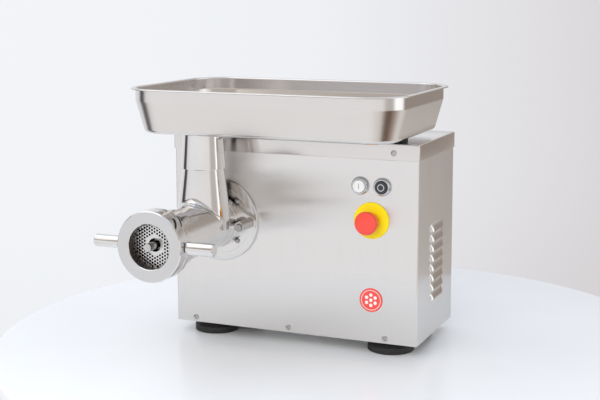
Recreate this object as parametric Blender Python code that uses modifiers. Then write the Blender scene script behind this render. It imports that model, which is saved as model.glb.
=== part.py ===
"""Electric meat grinder: sheet-steel housing, motor and two-stage gear train, screw-feed head, tray.

The model is laid out in housing coordinates: X to the right from the housing's left side, Y to the
back from its front panel, Z up from its underside. An empty, FRAME, moves all of it so that the
origin is under the middle of the whole machine, on the surface that the feet stand on.
Pieces on the head's axis are drawn lying on their side: their local Z is the reach in front of
the front panel, and their local Y is up.
"""
import math

import bmesh
import bpy
from mathutils import Matrix, Vector

# ---------------------------------------------------------------- driving dimensions (metres)
GAP = 0.0003                 # assembly gap between pieces that touch

HOUSING_W = 0.435            # housing, left to right
HOUSING_D = 0.200            # housing, front to back
HOUSING_H = 0.328            # underside to the top of the lid
SHEET = 0.0015               # housing sheet
LID_SKIRT = 0.027            # depth of the lid's turned-down rim
LID_OVERHANG = 0.0019        # how far the lid stands out beyond the panels
BASE_FLANGE = 0.018          # turned-up rim of the base plate
BASE_SHEET = 0.002

FOOT_R = 0.0385
FOOT_H = 0.020
FOOT_RIM = 0.011             # straight part of the foot's side
FOOT_INSET_X = 0.057         # foot centre from the housing's sides
FOOT_INSET_Y = (0.041, 0.060)       # from its front, and from its back
FOOT_STUD_R = 0.004

HEAD_X = 0.0863              # axis of the grinding head, from the housing's left side
HEAD_DROP = 0.1175           # that axis below the lid's rim
PLATE_R = 0.041              # hole plate: its radius sets the head's
PLATE_FACE = 0.227           # reach of the plate's front face: it sets the head's length
PLATE_T = 0.009
PLATE_CENTRE_R = 0.0105
PLATE_HOLE_R = 0.00165
PLATE_HOLE_PITCH = 0.0051
PLATE_SOLID_HEX = 0.0180     # unperforated hexagon in the middle
PLATE_RIM = 0.0055           # without holes, round the plate's edge
KEY_R = 0.0012               # pin that stops the plate from turning
KEY_PLAY = 0.0004

PLATE_SEAT = 0.005           # ledge in the head that the plate rests on
BARREL_WALL = 0.0065
MOUTH_WALL = 0.0047          # wall round the plate, at the head's front end
MOUTH_LENGTH = 0.057         # thicker front end of the barrel, back from the plate's face
MOUTH_INSET = 0.002          # the head's front edge, back from the plate's face
THREAD_HEIGHT = 0.0004
THREAD_LENGTH = 0.019
BARREL_STEP = 0.0013         # how far the rear collar stands out
THROAT_REACH = 0.064         # throat axis in front of the panel
THROAT_WAIST = (0.0408, 0.0435)   # throat radius, and where, above the head's axis
THROAT_TOP_R = 0.0295
THROAT_SUNK = 0.0200         # the throat's upper end below the tray's floor
THROAT_BORE_R = 0.026
HOUSING_OPENING_R = 0.040    # hole in the front panel behind the head
DRIVE_HOLE_R = 0.018         # bore in the head's and the disc's back, for the drive

DISC_T = 0.0055              # round flange disc on the front panel
DISC_RIM = 0.0125            # the disc's edge beyond the studs
HEAD_FLANGE_T = 0.009
STUD_CLEAR = 0.015           # stud axis from the barrel's side
STUD_R = 0.005
NUT_ACROSS = 0.017
NUT_LENGTH = 0.036
FLANGE_SCREW_CLEAR = 0.005   # flange screws' axis from the barrel's side
FLANGE_SCREW_HEAD_R = 0.0042
FLANGE_SCREW_HEAD_H = 0.0045
FLANGE_SCREW_SHANK_R = 0.0028

RING_WALL = 0.0091           # ring nut outside the thread
RING_FRONT = 0.019           # ring nut in front of the plate's face, and behind it
RING_REAR = 0.017
RING_LIP = 0.006             # how far its front covers the plate's edge
HANDLE_R = 0.010
HANDLE_LENGTH = 0.0475       # outside the ring nut
HANDLE_OFFSET = 0.001        # handle axis in front of the plate's face
HANDLE_SPIGOT_R = 0.005

FLIGHT_CLEAR = 0.002         # auger flight to barrel bore
FLIGHT_PITCH = 0.040
FLIGHT_T = 0.006
AUGER_CORE_R = 0.013
AUGER_BACK = 0.025
AUGER_STUD_R = 0.0064
AUGER_STUD_FRONT = 0.023     # stud end in front of the plate's face
KNIFE_T = 0.0115
KNIFE_CLEAR = 0.0025
TANG_R = 0.010

GEAR_MODULE = 0.0025
WHEEL_TEETH = 36
PINION_TEETH = 12
GEAR_W = 0.012
TRAIN_ANGLE = math.radians(-20)   # the shafts' row, below the horizontal
GEARBOX_DEPTH = 0.052
GEARBOX_WALL = 0.005
GEAR_CLEAR = 0.010           # output gear to the case's front wall
GEAR_STAGE_GAP = 0.004
TOOTH_CLEAR = 0.0025         # tooth tips to the case
BEARING_RACES = 0.008        # bearing from the shaft out
OUTPUT_SHAFT_R = 0.014
OUTPUT_TAIL_R = 0.010        # behind the gear, clear of the idler gear
IDLER_SHAFT_R = 0.008
MOTOR_SHAFT_R = 0.007

MOTOR_R = 0.066
MOTOR_LENGTH = 0.088
MOTOR_WALL = 0.004
AIR_GAP_R = 0.036            # inside of the stator
END_SHIELD_T = 0.006
FAN_R = 0.050
FAN_DEPTH = 0.010
COWL_LENGTH = 0.028
COWL_INTAKE_R = 0.030
COWL_SHEET = 0.0015
CONTACTOR = (0.045, 0.060, 0.070)
CONTACTOR_INSET = (0.068, 0.100)    # from the housing's right side, and behind its front
CAPACITOR = (0.0175, 0.068)         # radius and height
CAPACITOR_INSET = (0.135, 0.150)

BUTTON_DROP = 0.0708         # buttons below the lid's top
BUTTONS_INSET = 0.0788       # midway between them, from the housing's right side
BUTTON_SPACING = 0.0376
BEZEL_RIM = 0.0046
BEZEL_H = 0.0065
BUTTON_HOLE_R = 0.0112
CAP_R = 0.0104
CAP_PROUD = 0.0095
BUTTON_TRAVEL = 0.004
BUTTON_STEM_R = 0.006
BUTTON_TAIL = 0.012          # bezel behind the panel
ESTOP_INSET = 0.078          # from the housing's right side
ESTOP_DROP = 0.0559          # below the buttons
ESTOP_DISC_R = 0.030
ESTOP_R = 0.0192
ESTOP_PROUD = 0.034
ESTOP_STEM_R = 0.008
ESTOP_STEM_PROUD = 0.022
CONTACT_BLOCK = (0.026, 0.034, 0.032)
BADGE_R = 0.0198
BADGE_T = 0.0012
BADGE_Z = 0.070

LOUVRE_COUNT = 8
LOUVRE_PITCH = 0.0165
LOUVRE_LOW = 0.060           # height of the lowest louvre's opening
LOUVRE_Y = (0.070, 0.137)
LOUVRE_PROUD = 0.0055
LOUVRE_H = 0.0135
REAR_SLOTS = 6

TRAY_LEFT = 0.032            # tray's upright band left of the housing; its right ends flush
TRAY_FRONT = 0.121           # in front of the panel
TRAY_REAR = 0.013            # short of the housing's back
TRAY_OVER_LID = 0.0095
TRAY_H = 0.0740
TRAY_BAND = 0.020
TRAY_LIP = 0.008
TRAY_TAPER = 0.0140
TRAY_FILLET = 0.0084
TRAY_CORNER = 0.060
TRAY_SHEET = 0.0012
SPOUT_LENGTH = 0.0565        # below the tray's floor
SPOUT_R_TOP = 0.0330
SPOUT_SHEET = 0.0015
SPOUT_PLAY = 0.00164         # round the throat, at the spout's lower end
BUMPER_R = 0.012
BUMPERS = {"front": (0.041, 0.033), "rear": (0.100, 0.140)}   # from the housing's right side, and its front

GLAND_X = 0.060
GLAND_Z = 0.045
GLAND_R = 0.011
GLAND_PROUD = 0.016

# ---------------------------------------------------------------- worked out from them
LID_UNDER = HOUSING_H - LID_SKIRT
HEAD_Z = LID_UNDER - HEAD_DROP
BARREL_BORE_R = PLATE_R - PLATE_SEAT
BARREL_R = BARREL_BORE_R + BARREL_WALL
BARREL_MOUTH_R = PLATE_R + GAP + MOUTH_WALL
BARREL_MOUTH_REACH = PLATE_FACE - MOUTH_LENGTH
THREAD_R = BARREL_MOUTH_R + THREAD_HEIGHT
THREAD_START = PLATE_FACE - THREAD_LENGTH
PLATE_BACK = PLATE_FACE - PLATE_T
MOUTH_END = PLATE_FACE - MOUTH_INSET
RING_R = THREAD_R + RING_WALL
RING_FACE = PLATE_FACE + RING_FRONT
RING_BACK = PLATE_FACE - RING_REAR
RING_OPENING_R = PLATE_R - RING_LIP
HANDLE_REACH = PLATE_FACE + HANDLE_OFFSET
HANDLE_TIP = RING_R + HANDLE_LENGTH
FLIGHT_R = BARREL_BORE_R - FLIGHT_CLEAR
KNIFE_R = BARREL_BORE_R - KNIFE_CLEAR
AUGER_STUD_END = PLATE_FACE + AUGER_STUD_FRONT
STUD_OFFSET = BARREL_R + STUD_CLEAR
DISC_R = STUD_OFFSET + DISC_RIM
FLANGE_SCREW_RING = BARREL_R + FLANGE_SCREW_CLEAR
TRAY_X = (-TRAY_LEFT, HOUSING_W)
TRAY_Y = (-TRAY_FRONT, HOUSING_D - TRAY_REAR)
TRAY_FLOOR = HOUSING_H + TRAY_OVER_LID
TRAY_RIM = TRAY_FLOOR + TRAY_H
THROAT_TOP = (THROAT_TOP_R, TRAY_FLOOR - THROAT_SUNK - HEAD_Z)
SPOUT_LOW = TRAY_FLOOR - SPOUT_LENGTH
THROAT_SLOPE = (THROAT_TOP[0] - THROAT_WAIST[0]) / (THROAT_TOP[1] - THROAT_WAIST[1])
THROAT_IN_SPOUT_R = THROAT_WAIST[0] + THROAT_SLOPE * (SPOUT_LOW - HEAD_Z - THROAT_WAIST[1])
SPOUT_R_LOW = THROAT_IN_SPOUT_R + SPOUT_PLAY + SPOUT_SHEET
BUTTON_Z = HOUSING_H - BUTTON_DROP
START_X = HOUSING_W - BUTTONS_INSET - BUTTON_SPACING / 2
STOP_X = START_X + BUTTON_SPACING
BEZEL_R = CAP_R + BEZEL_RIM
ESTOP_X = HOUSING_W - ESTOP_INSET
ESTOP_Z = BUTTON_Z - ESTOP_DROP
CENTRE_X = (TRAY_X[0] + TRAY_X[1]) / 2
CENTRE_Y = (HOUSING_D + GLAND_PROUD - AUGER_STUD_END) / 2
CENTRE_DISTANCE = GEAR_MODULE * (WHEEL_TEETH + PINION_TEETH) / 2
GEARBOX_FRONT = SHEET + GAP
WHEEL_PLANE = GEARBOX_FRONT + GEARBOX_WALL + GEAR_CLEAR      # front of the output gear
IDLER_PLANE = WHEEL_PLANE + GEAR_W + GEAR_STAGE_GAP          # front of the idler gear
GEARBOX_BACK = GEARBOX_FRONT + GEARBOX_DEPTH
COVER_BACK = GEARBOX_BACK + GAP + GEARBOX_WALL
MOTOR_FRONT = COVER_BACK + GAP
MOTOR_BACK = MOTOR_FRONT + MOTOR_LENGTH
GEARBOX_R = GEAR_MODULE * (WHEEL_TEETH / 2 + 1) + TOOTH_CLEAR + GEARBOX_WALL
BEARING_R = OUTPUT_SHAFT_R + BEARING_RACES
MOTOR_BEARING_R = MOTOR_SHAFT_R + BEARING_RACES

STEEL = {"colour": (0.62, 0.61, 0.60), "metallic": 1.0, "roughness": 0.32}
POLISHED = {"colour": (0.75, 0.75, 0.75), "metallic": 1.0, "roughness": 0.12}
CAST = {"colour": (0.45, 0.46, 0.47), "metallic": 1.0, "roughness": 0.45}
BLACK = {"colour": (0.02, 0.02, 0.02), "metallic": 0.0, "roughness": 0.60}
WHITE = {"colour": (0.85, 0.85, 0.85), "metallic": 0.0, "roughness": 0.35}
YELLOW = {"colour": (0.95, 0.66, 0.01), "metallic": 0.0, "roughness": 0.40}
RED = {"colour": (0.85, 0.08, 0.05), "metallic": 0.0, "roughness": 0.35}
GREY = {"colour": (0.25, 0.26, 0.28), "metallic": 0.0, "roughness": 0.50}
COPPER = {"colour": (0.50, 0.36, 0.28), "metallic": 1.0, "roughness": 0.50}


# ---------------------------------------------------------------- scene and placing
def collection(name):
    made = bpy.data.collections.new(name)
    bpy.context.scene.collection.children.link(made)
    return made


for leftover in list(bpy.data.objects):
    bpy.data.objects.remove(leftover)

PARTS = collection("meat_grinder")
CUTTERS = collection("cutters")
FRAME = bpy.data.objects.new("frame", None)
FRAME.location = (-CENTRE_X, -CENTRE_Y, FOOT_H)
PARTS.objects.link(FRAME)


def place(obj, look, at, front):
    """Put an object at a housing position; with front it lies on its side, local Z to the front."""
    obj.location = at
    if front:
        obj.rotation_euler = (math.radians(90), 0, 0)
    obj.parent = FRAME
    if look is None:
        CUTTERS.objects.link(obj)
        obj.hide_render = True
        obj.display_type = "WIRE"
        return obj
    PARTS.objects.link(obj)
    paint = bpy.data.materials.new(obj.name)
    paint.use_nodes = True
    shader = paint.node_tree.nodes["Principled BSDF"]
    shader.inputs["Base Color"].default_value = (*look["colour"], 1)
    shader.inputs["Metallic"].default_value = look["metallic"]
    shader.inputs["Roughness"].default_value = look["roughness"]
    obj.data.materials.clear()
    obj.data.materials.append(paint)
    return obj


def head_at(y=0.0):
    return Vector((HEAD_X, y, HEAD_Z))


def train_at(step):
    """Where the gear train's shafts are: 0 the output, 1 the idler, 2 the motor."""
    reach = step * CENTRE_DISTANCE
    return Vector((HEAD_X + reach * math.cos(TRAIN_ANGLE), 0, HEAD_Z + reach * math.sin(TRAIN_ANGLE)))


# ---------------------------------------------------------------- shapes
def from_bmesh(name, bm):
    mesh = bpy.data.meshes.new(name)
    bm.to_mesh(mesh)
    bm.free()
    return bpy.data.objects.new(name, mesh)


def box(name, low, high, look):
    bm = bmesh.new()
    bmesh.ops.create_cube(bm, size=1)
    low, high = Vector(low), Vector(high)
    bmesh.ops.scale(bm, vec=high - low, verts=bm.verts)
    return place(from_bmesh(name, bm), look, (low + high) / 2, False)


def sheet_box(name, low, high, thickness, open_sides, look):
    """A folded-sheet box whose outside is low to high, without the sides named in open_sides."""
    bm = bmesh.new()
    bmesh.ops.create_cube(bm, size=1)
    low, high = Vector(low), Vector(high)
    bmesh.ops.scale(bm, vec=high - low, verts=bm.verts)
    gone = [face for face in bm.faces if any(face.normal.dot(Vector(side)) > 0.9 for side in open_sides)]
    bmesh.ops.delete(bm, geom=gone, context="FACES")
    obj = place(from_bmesh(name, bm), look, (low + high) / 2, False)
    thicken(obj, thickness)
    return obj


def thicken(obj, thickness):
    solid = obj.modifiers.new("sheet", "SOLIDIFY")
    solid.thickness = thickness
    solid.offset = -1
    solid.use_even_offset = True


def turned(name, profile, look, at, front=True, steps=24, ring=False):
    """Turn (radius, height) points about local Z. They run down the outside; a ring comes back up."""
    mesh = bpy.data.meshes.new(name)
    last = len(profile) - 1
    edges = [(i, i + 1) for i in range(last)] + ([(last, 0)] if ring else [])
    mesh.from_pydata([(r, 0, z) for r, z in profile], edges, [])
    obj = place(bpy.data.objects.new(name, mesh), look, at, front)
    screw = obj.modifiers.new("turn", "SCREW")
    screw.steps = steps
    screw.render_steps = steps
    screw.use_merge_vertices = True
    screw.merge_threshold = 0.00001
    return obj


def disc(name, radius, top, bottom, look, at, front=True, steps=24):
    profile = [(0, top), (radius, top), (radius, bottom), (0, bottom)]
    return turned(name, profile, look, at, front, steps)


def tube(name, outer, inner, top, bottom, look, at, front=True, steps=24):
    profile = [(outer, top), (outer, bottom), (inner, bottom), (inner, top)]
    return turned(name, profile, look, at, front, steps, ring=True)


def circle(radius, points, centre=(0, 0), start=0.0):
    angles = [start + 2 * math.pi * i / points for i in range(points)]
    return [(centre[0] + radius * math.cos(a), centre[1] + radius * math.sin(a)) for a in angles]


def around(discs, points=28):
    """The outline of a belt round several discs, each (x, y, radius)."""
    cloud = sorted(p for x, y, r in discs for p in circle(r, points, (x, y)))

    def half(line):
        chain = []
        for p in line:
            while len(chain) > 1 and turn(chain[-2], chain[-1], p) <= 1e-12:
                chain.pop()
            chain.append(p)
        return chain[:-1]

    return half(cloud) + half(reversed(cloud))


def turn(a, b, c):
    return (b[0] - a[0]) * (c[1] - a[1]) - (b[1] - a[1]) * (c[0] - a[0])


def slab(name, outlines, near, far, look, at, front=True):
    """A flat plate from closed outlines, the first the edge and the others holes, near to far in height."""
    curve = bpy.data.curves.new(name, "CURVE")
    curve.dimensions = "2D"
    curve.fill_mode = "BOTH"
    curve.extrude = abs(far - near) / 2
    for outline in outlines:
        spline = curve.splines.new("POLY")
        spline.points.add(len(outline) - 1)
        for point, (x, y) in zip(spline.points, outline):
            point.co = (x, y, 0, 1)
        spline.use_cyclic_u = True
    drawn = bpy.data.objects.new(name + "_drawn", curve)
    CUTTERS.objects.link(drawn)
    bpy.context.view_layer.update()
    mesh = bpy.data.meshes.new_from_object(drawn.evaluated_get(bpy.context.evaluated_depsgraph_get()))
    bpy.data.objects.remove(drawn)
    bpy.data.curves.remove(curve)
    bm = bmesh.new()
    bm.from_mesh(mesh)
    bmesh.ops.remove_doubles(bm, verts=bm.verts, dist=0.00001)
    bmesh.ops.translate(bm, vec=(0, 0, (near + far) / 2), verts=bm.verts)
    bmesh.ops.recalc_face_normals(bm, faces=bm.faces)
    bpy.data.meshes.remove(mesh)
    return place(from_bmesh(name, bm), look, at, front)


def boolean(obj, tool, operation):
    step = obj.modifiers.new(tool.name, "BOOLEAN")
    step.operation = operation
    step.object = tool


def cut(obj, *tools):
    for tool in tools:
        boolean(obj, tool, "DIFFERENCE")


def add(obj, *tools):
    for tool in tools:
        boolean(obj, tool, "UNION")


def drill(obj, radius, x, z, near=-0.03, far=0.03, points=16):
    """A round hole through an upright panel."""
    name = f"{obj.name}_hole_{len(obj.modifiers)}"
    cut(obj, disc(name, radius, -near, -far, None, (x, 0, z), True, points))


# ---------------------------------------------------------------- housing
def louvre_heights():
    return [LOUVRE_LOW + i * LOUVRE_PITCH for i in range(LOUVRE_COUNT)]


def louvre_wedge(name, shrink, z):
    """The hood of one louvre, a wedge that stands out of the right side and opens downwards."""
    y0, y1 = LOUVRE_Y
    side = HOUSING_W - SHEET - (0.004 if shrink else -0.0004)
    out = HOUSING_W + LOUVRE_PROUD - shrink
    low = z - (0.002 if shrink else 0)
    top = z + LOUVRE_H - shrink
    slope = 0.005
    bm = bmesh.new()
    ring = [(side, low), (out, low), (out, low + 0.003), (side, top)]
    ends = []
    for y, inset in ((y0 + shrink, slope), (y1 - shrink, -slope)):
        ends.append([bm.verts.new((x, y + (inset if x > side else 0), h)) for x, h in ring])
    near, far = ends
    bm.faces.new(near)
    bm.faces.new(far[::-1])
    for i in range(4):
        bm.faces.new((near[i - 1], far[i - 1], far[i], near[i]))
    bmesh.ops.recalc_face_normals(bm, faces=bm.faces)
    return place(from_bmesh(name, bm), None, (0, 0, 0), False)


def housing_shell():
    shell = sheet_box(
        "housing_shell", (0, 0, 0), (HOUSING_W, HOUSING_D, LID_UNDER + LID_SKIRT - SHEET - 2 * GAP), SHEET,
        [(0, 0, 1), (0, 0, -1), (0, 1, 0)], STEEL)
    for i, z in enumerate(louvre_heights()):
        add(shell, louvre_wedge(f"louvre_{i}", 0, z))
        cut(shell, louvre_wedge(f"louvre_slot_{i}", 0.0012, z))
    drill(shell, HOUSING_OPENING_R, HEAD_X, HEAD_Z, points=24)
    for side in (-1, 1):
        drill(shell, STUD_R + 0.0005, HEAD_X + side * STUD_OFFSET, HEAD_Z, points=12)
    for x, z in flange_screw_places():
        drill(shell, FLANGE_SCREW_SHANK_R + 0.0004, x, z, points=10)
    for x, z in ((START_X, BUTTON_Z), (STOP_X, BUTTON_Z), (ESTOP_X, ESTOP_Z)):
        drill(shell, BUTTON_HOLE_R, x, z)


def base_plate():
    inset = SHEET + GAP
    plate = sheet_box(
        "base_plate", (inset, inset, 0), (HOUSING_W - inset, HOUSING_D - inset - SHEET - GAP, BASE_FLANGE),
        BASE_SHEET, [(0, 0, 1)], STEEL)
    for i, (x, y) in enumerate(foot_places()):
        cut(plate, disc(f"foot_hole_{i}", FOOT_STUD_R + 0.0005, 0.01, -0.01, None, (x, y, 0), False, 12))


def rear_panel():
    """Flat back panel with slots behind the motor's fan, and a hole for the cable gland."""
    inset = SHEET + GAP
    panel = box(
        "rear_panel", (inset, HOUSING_D - SHEET - GAP, 0),
        (HOUSING_W - inset, HOUSING_D - GAP, LID_UNDER + 0.02), STEEL)
    fan = train_at(2)
    for i in range(REAR_SLOTS):
        z = fan.z + (i - (REAR_SLOTS - 1) / 2) * 0.014
        half = math.sqrt((FAN_R + 0.002)**2 - (z - fan.z)**2)
        cut(panel, box(f"rear_slot_{i}", (fan.x - half, HOUSING_D - 0.01, z - 0.0025),
                       (fan.x + half, HOUSING_D + 0.01, z + 0.0025), None))
    cut(panel, disc("gland_hole", GLAND_R * 0.7, 0.01, -0.01, None, (GLAND_X, HOUSING_D, GLAND_Z), True, 16))


def cable_gland():
    thread = GLAND_R * 0.7 - GAP
    profile = [
        (0, GLAND_PROUD), (GLAND_R * 0.55, GLAND_PROUD), (GLAND_R * 0.85, GLAND_PROUD - 0.004),
        (GLAND_R, GLAND_PROUD - 0.008), (GLAND_R, GAP), (thread, GAP), (thread, -0.012), (0, -0.012)]
    gland = turned("cable_gland", profile, BLACK, (GLAND_X, HOUSING_D, GLAND_Z), False, 16)
    gland.rotation_euler = (math.radians(-90), 0, 0)


def top_lid():
    out = LID_OVERHANG
    sheet_box(
        "top_lid", (-out, -out, LID_UNDER), (HOUSING_W + out, HOUSING_D + out, HOUSING_H),
        SHEET, [(0, 0, -1)], STEEL)


def foot_places():
    near, far = FOOT_INSET_Y[0], HOUSING_D - FOOT_INSET_Y[1]
    return [(x, y) for y in (near, far) for x in (FOOT_INSET_X, HOUSING_W - FOOT_INSET_X)]


def feet():
    corners = ("front_left", "front_right", "rear_left", "rear_right")
    for corner, (x, y) in zip(corners, foot_places()):
        profile = [
            (0, 0.008), (FOOT_STUD_R, 0.008), (FOOT_STUD_R, -GAP), (FOOT_R * 0.6, -GAP),
            (FOOT_R - 0.001, FOOT_RIM - FOOT_H), (FOOT_R, FOOT_RIM - FOOT_H - 0.001), (FOOT_R, -FOOT_H),
            (0, -FOOT_H)]
        turned(f"foot_{corner}", profile, BLACK, (x, y, 0), False, 24)


def lid_bumpers():
    """Rubber pads on the lid that the tray's free end rests on."""
    height = TRAY_OVER_LID
    for end, (inset, y) in BUMPERS.items():
        profile = [
            (0, height - GAP), (BUMPER_R - 0.002, height - GAP), (BUMPER_R, height - 0.003), (BUMPER_R, GAP),
            (0, GAP)]
        turned(f"lid_bumper_{end}", profile, BLACK, (HOUSING_W - inset, y, HOUSING_H), False, 16)


# ---------------------------------------------------------------- head mounting
def flange_screw_places():
    return circle(FLANGE_SCREW_RING, 4, (HEAD_X, HEAD_Z), math.radians(45))


def head_stack():
    """Reach of the flange disc's front, the head flange's back and the head flange's front."""
    disc_front = GAP + DISC_T
    flange_back = disc_front + GAP
    return disc_front, flange_back, flange_back + HEAD_FLANGE_T


def head_mounting():
    disc_front, flange_back, flange_front = head_stack()
    profile = [
        (DISC_R - 0.0015, disc_front), (DISC_R, disc_front - 0.0015), (DISC_R, GAP),
        (DRIVE_HOLE_R + 0.002, GAP), (DRIVE_HOLE_R + 0.002, disc_front)]
    plate = turned("flange_disc", profile, POLISHED, head_at(), steps=40, ring=True)
    for side in (-1, 1):
        drill(plate, STUD_R + 0.0004, HEAD_X + side * STUD_OFFSET, HEAD_Z, points=12)
    for i, (x, z) in enumerate(flange_screw_places()):
        drill(plate, FLANGE_SCREW_SHANK_R + 0.0004, x, z, points=10)
        head, shank = FLANGE_SCREW_HEAD_R, FLANGE_SCREW_SHANK_R
        top = disc_front + GAP + FLANGE_SCREW_HEAD_H
        turned(f"flange_screw_{i + 1}", [
            (0, top), (head - 0.0006, top), (head, top - 0.0006), (head, disc_front + GAP),
            (shank, disc_front + GAP), (shank, -SHEET), (0, -SHEET)], STEEL, (x, 0, z), steps=12)
    nut_back = flange_front + GAP
    stud_front = nut_back + NUT_LENGTH + 0.003
    for side, word in ((-1, "left"), (1, "right")):
        at = (HEAD_X + side * STUD_OFFSET, 0, HEAD_Z)
        turned(f"head_stud_{word}", [
            (0, stud_front), (STUD_R - 0.001, stud_front), (STUD_R, stud_front - 0.001), (STUD_R, -SHEET),
            (0, -SHEET)], STEEL, at, steps=12)
        corner = NUT_ACROSS / math.sqrt(3)
        slab(f"head_nut_{word}", [circle(corner, 6, start=math.radians(30)), circle(STUD_R + GAP, 12)],
             nut_back, nut_back + NUT_LENGTH, POLISHED, at)


def grinding_head():
    _, back, flange_front = head_stack()
    collar = flange_front + 0.016
    body = turned("grinding_head", [
        (0, MOUTH_END), (THREAD_R - 0.001, MOUTH_END), (THREAD_R, MOUTH_END - 0.001),
        (THREAD_R, THREAD_START),
        (BARREL_MOUTH_R, THREAD_START - 0.0005), (BARREL_MOUTH_R, BARREL_MOUTH_REACH),
        (BARREL_R, BARREL_MOUTH_REACH - 0.002), (BARREL_R, collar), (BARREL_R + BARREL_STEP, collar - 0.001),
        (BARREL_R + BARREL_STEP, flange_front - 0.002), (0, flange_front - 0.002)],
        POLISHED, head_at(), steps=32)
    over_throat = head_at(-THROAT_REACH)
    side = BARREL_R - 0.0008
    throat = turned("throat_outside", [
        (0, THROAT_TOP[1]), THROAT_TOP, THROAT_WAIST, (side, THROAT_WAIST[1] - 0.012), (side, 0), (0, 0)],
        None, over_throat, False, 28)
    ears = slab("head_flange", [around([
        (0, 0, BARREL_R - 0.0025), (-STUD_OFFSET, 0, 0.012), (STUD_OFFSET, 0, 0.012)], 24)],
        back, flange_front, None, head_at())
    add(body, throat, ears)
    seat = PLATE_BACK - GAP
    bore = turned("head_bore", [
        (0, MOUTH_END + 0.01), (PLATE_R + GAP, MOUTH_END + 0.01), (PLATE_R + GAP, seat),
        (BARREL_BORE_R, seat), (BARREL_BORE_R, AUGER_BACK - 0.001), (DRIVE_HOLE_R, AUGER_BACK - 0.001),
        (DRIVE_HOLE_R, -0.01), (0, -0.01)],
        None, head_at(), steps=32)
    funnel = disc("throat_bore", THROAT_BORE_R, THROAT_TOP[1] + 0.01, 0.004, None, over_throat, False)
    cut(body, bore, funnel)
    for side in (-1, 1):
        drill(body, STUD_R + GAP, HEAD_X + side * STUD_OFFSET, HEAD_Z, points=12)


def shaft_seal():
    tube("shaft_seal", DRIVE_HOLE_R - GAP, OUTPUT_SHAFT_R + GAP, AUGER_BACK - 0.004, 0.012, BLACK,
         head_at(), steps=24)


# ---------------------------------------------------------------- cutting set and ring nut
def hole_places():
    """Hexagonal grid with upright columns, without the solid hexagon in the middle."""
    column = PLATE_HOLE_PITCH * math.sqrt(3) / 2
    furthest = PLATE_R - PLATE_RIM
    reach = int(furthest / column) + 1
    places = []
    for i in range(-reach, reach + 1):
        for j in range(-reach, reach + 1):
            x = i * column
            y = (j + (i % 2) / 2) * PLATE_HOLE_PITCH
            flat = max(abs(x), abs(x / 2 + y * math.sqrt(3) / 2), abs(x / 2 - y * math.sqrt(3) / 2))
            if math.hypot(x, y) < furthest and flat > PLATE_SOLID_HEX * math.sqrt(3) / 2:
                places.append((x, y))
    return places


def notched_circle(radius, notch, points):
    """A circle with a small square notch at its lowest point, for a key."""
    half = math.asin(notch / radius)
    sweep = 2 * math.pi - 2 * half
    arc = [-math.pi / 2 + half + sweep * i / points for i in range(points + 1)]
    outline = [(radius * math.cos(a), radius * math.sin(a)) for a in arc]
    depth = -radius * math.cos(half) + 2 * notch
    return outline + [(-notch, depth), (notch, depth)]


def hole_plate():
    holes = [circle(PLATE_HOLE_R, 5, place_at) for place_at in hole_places()]
    slab("hole_plate", [notched_circle(PLATE_R, KEY_R + KEY_PLAY, 32), circle(PLATE_CENTRE_R, 20)] + holes,
         PLATE_BACK, PLATE_FACE, POLISHED, head_at())
    middle = -(PLATE_R - KEY_R - KEY_PLAY)
    disc("plate_key", KEY_R, PLATE_FACE - 0.001, PLATE_BACK + GAP, STEEL,
         head_at() + Vector((0, 0, middle)), steps=10)


def ring_nut():
    side = HANDLE_REACH
    ring = turned("ring_nut", [
        (RING_R - 0.0015, RING_FACE), (RING_R, RING_FACE - 0.0015), (RING_R, side - 0.0005),
        (RING_R - 0.0012, side - 0.001), (RING_R - 0.0012, side - 0.003), (RING_R, side - 0.0035),
        (RING_R, RING_BACK + 0.004), (RING_R - 0.0012, RING_BACK + 0.0012), (RING_R - 0.004, RING_BACK),
        (THREAD_R + 0.0004, RING_BACK), (THREAD_R + 0.0004, PLATE_FACE + GAP),
        (RING_OPENING_R, PLATE_FACE + GAP), (RING_OPENING_R, RING_FACE - 0.001),
        (RING_OPENING_R + 0.001, RING_FACE)], POLISHED, head_at(), steps=40, ring=True)
    hole = disc("handle_holes", HANDLE_SPIGOT_R + GAP, RING_R + 0.01, -RING_R - 0.01, None,
                head_at(-HANDLE_REACH), False, 14)
    hole.rotation_euler = (0, math.radians(90), 0)
    core = disc("handle_hole_stop", THREAD_R - 0.004, RING_FACE + 0.01, RING_BACK - 0.01, None, head_at())
    cut(hole, core)
    cut(ring, hole)


def ring_handle(word, side):
    root = RING_R + GAP
    profile = [
        (0, HANDLE_TIP), (HANDLE_R - 0.0015, HANDLE_TIP), (HANDLE_R, HANDLE_TIP - 0.0015),
        (HANDLE_R, root + 0.0025), (HANDLE_R - 0.002, root), (HANDLE_SPIGOT_R, root),
        (HANDLE_SPIGOT_R, THREAD_R + 0.001), (0, THREAD_R + 0.001)]
    bar = turned(f"ring_handle_{word}", profile, POLISHED, head_at(-HANDLE_REACH), False, 18)
    bar.rotation_euler = (0, side * math.radians(90), 0)


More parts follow.
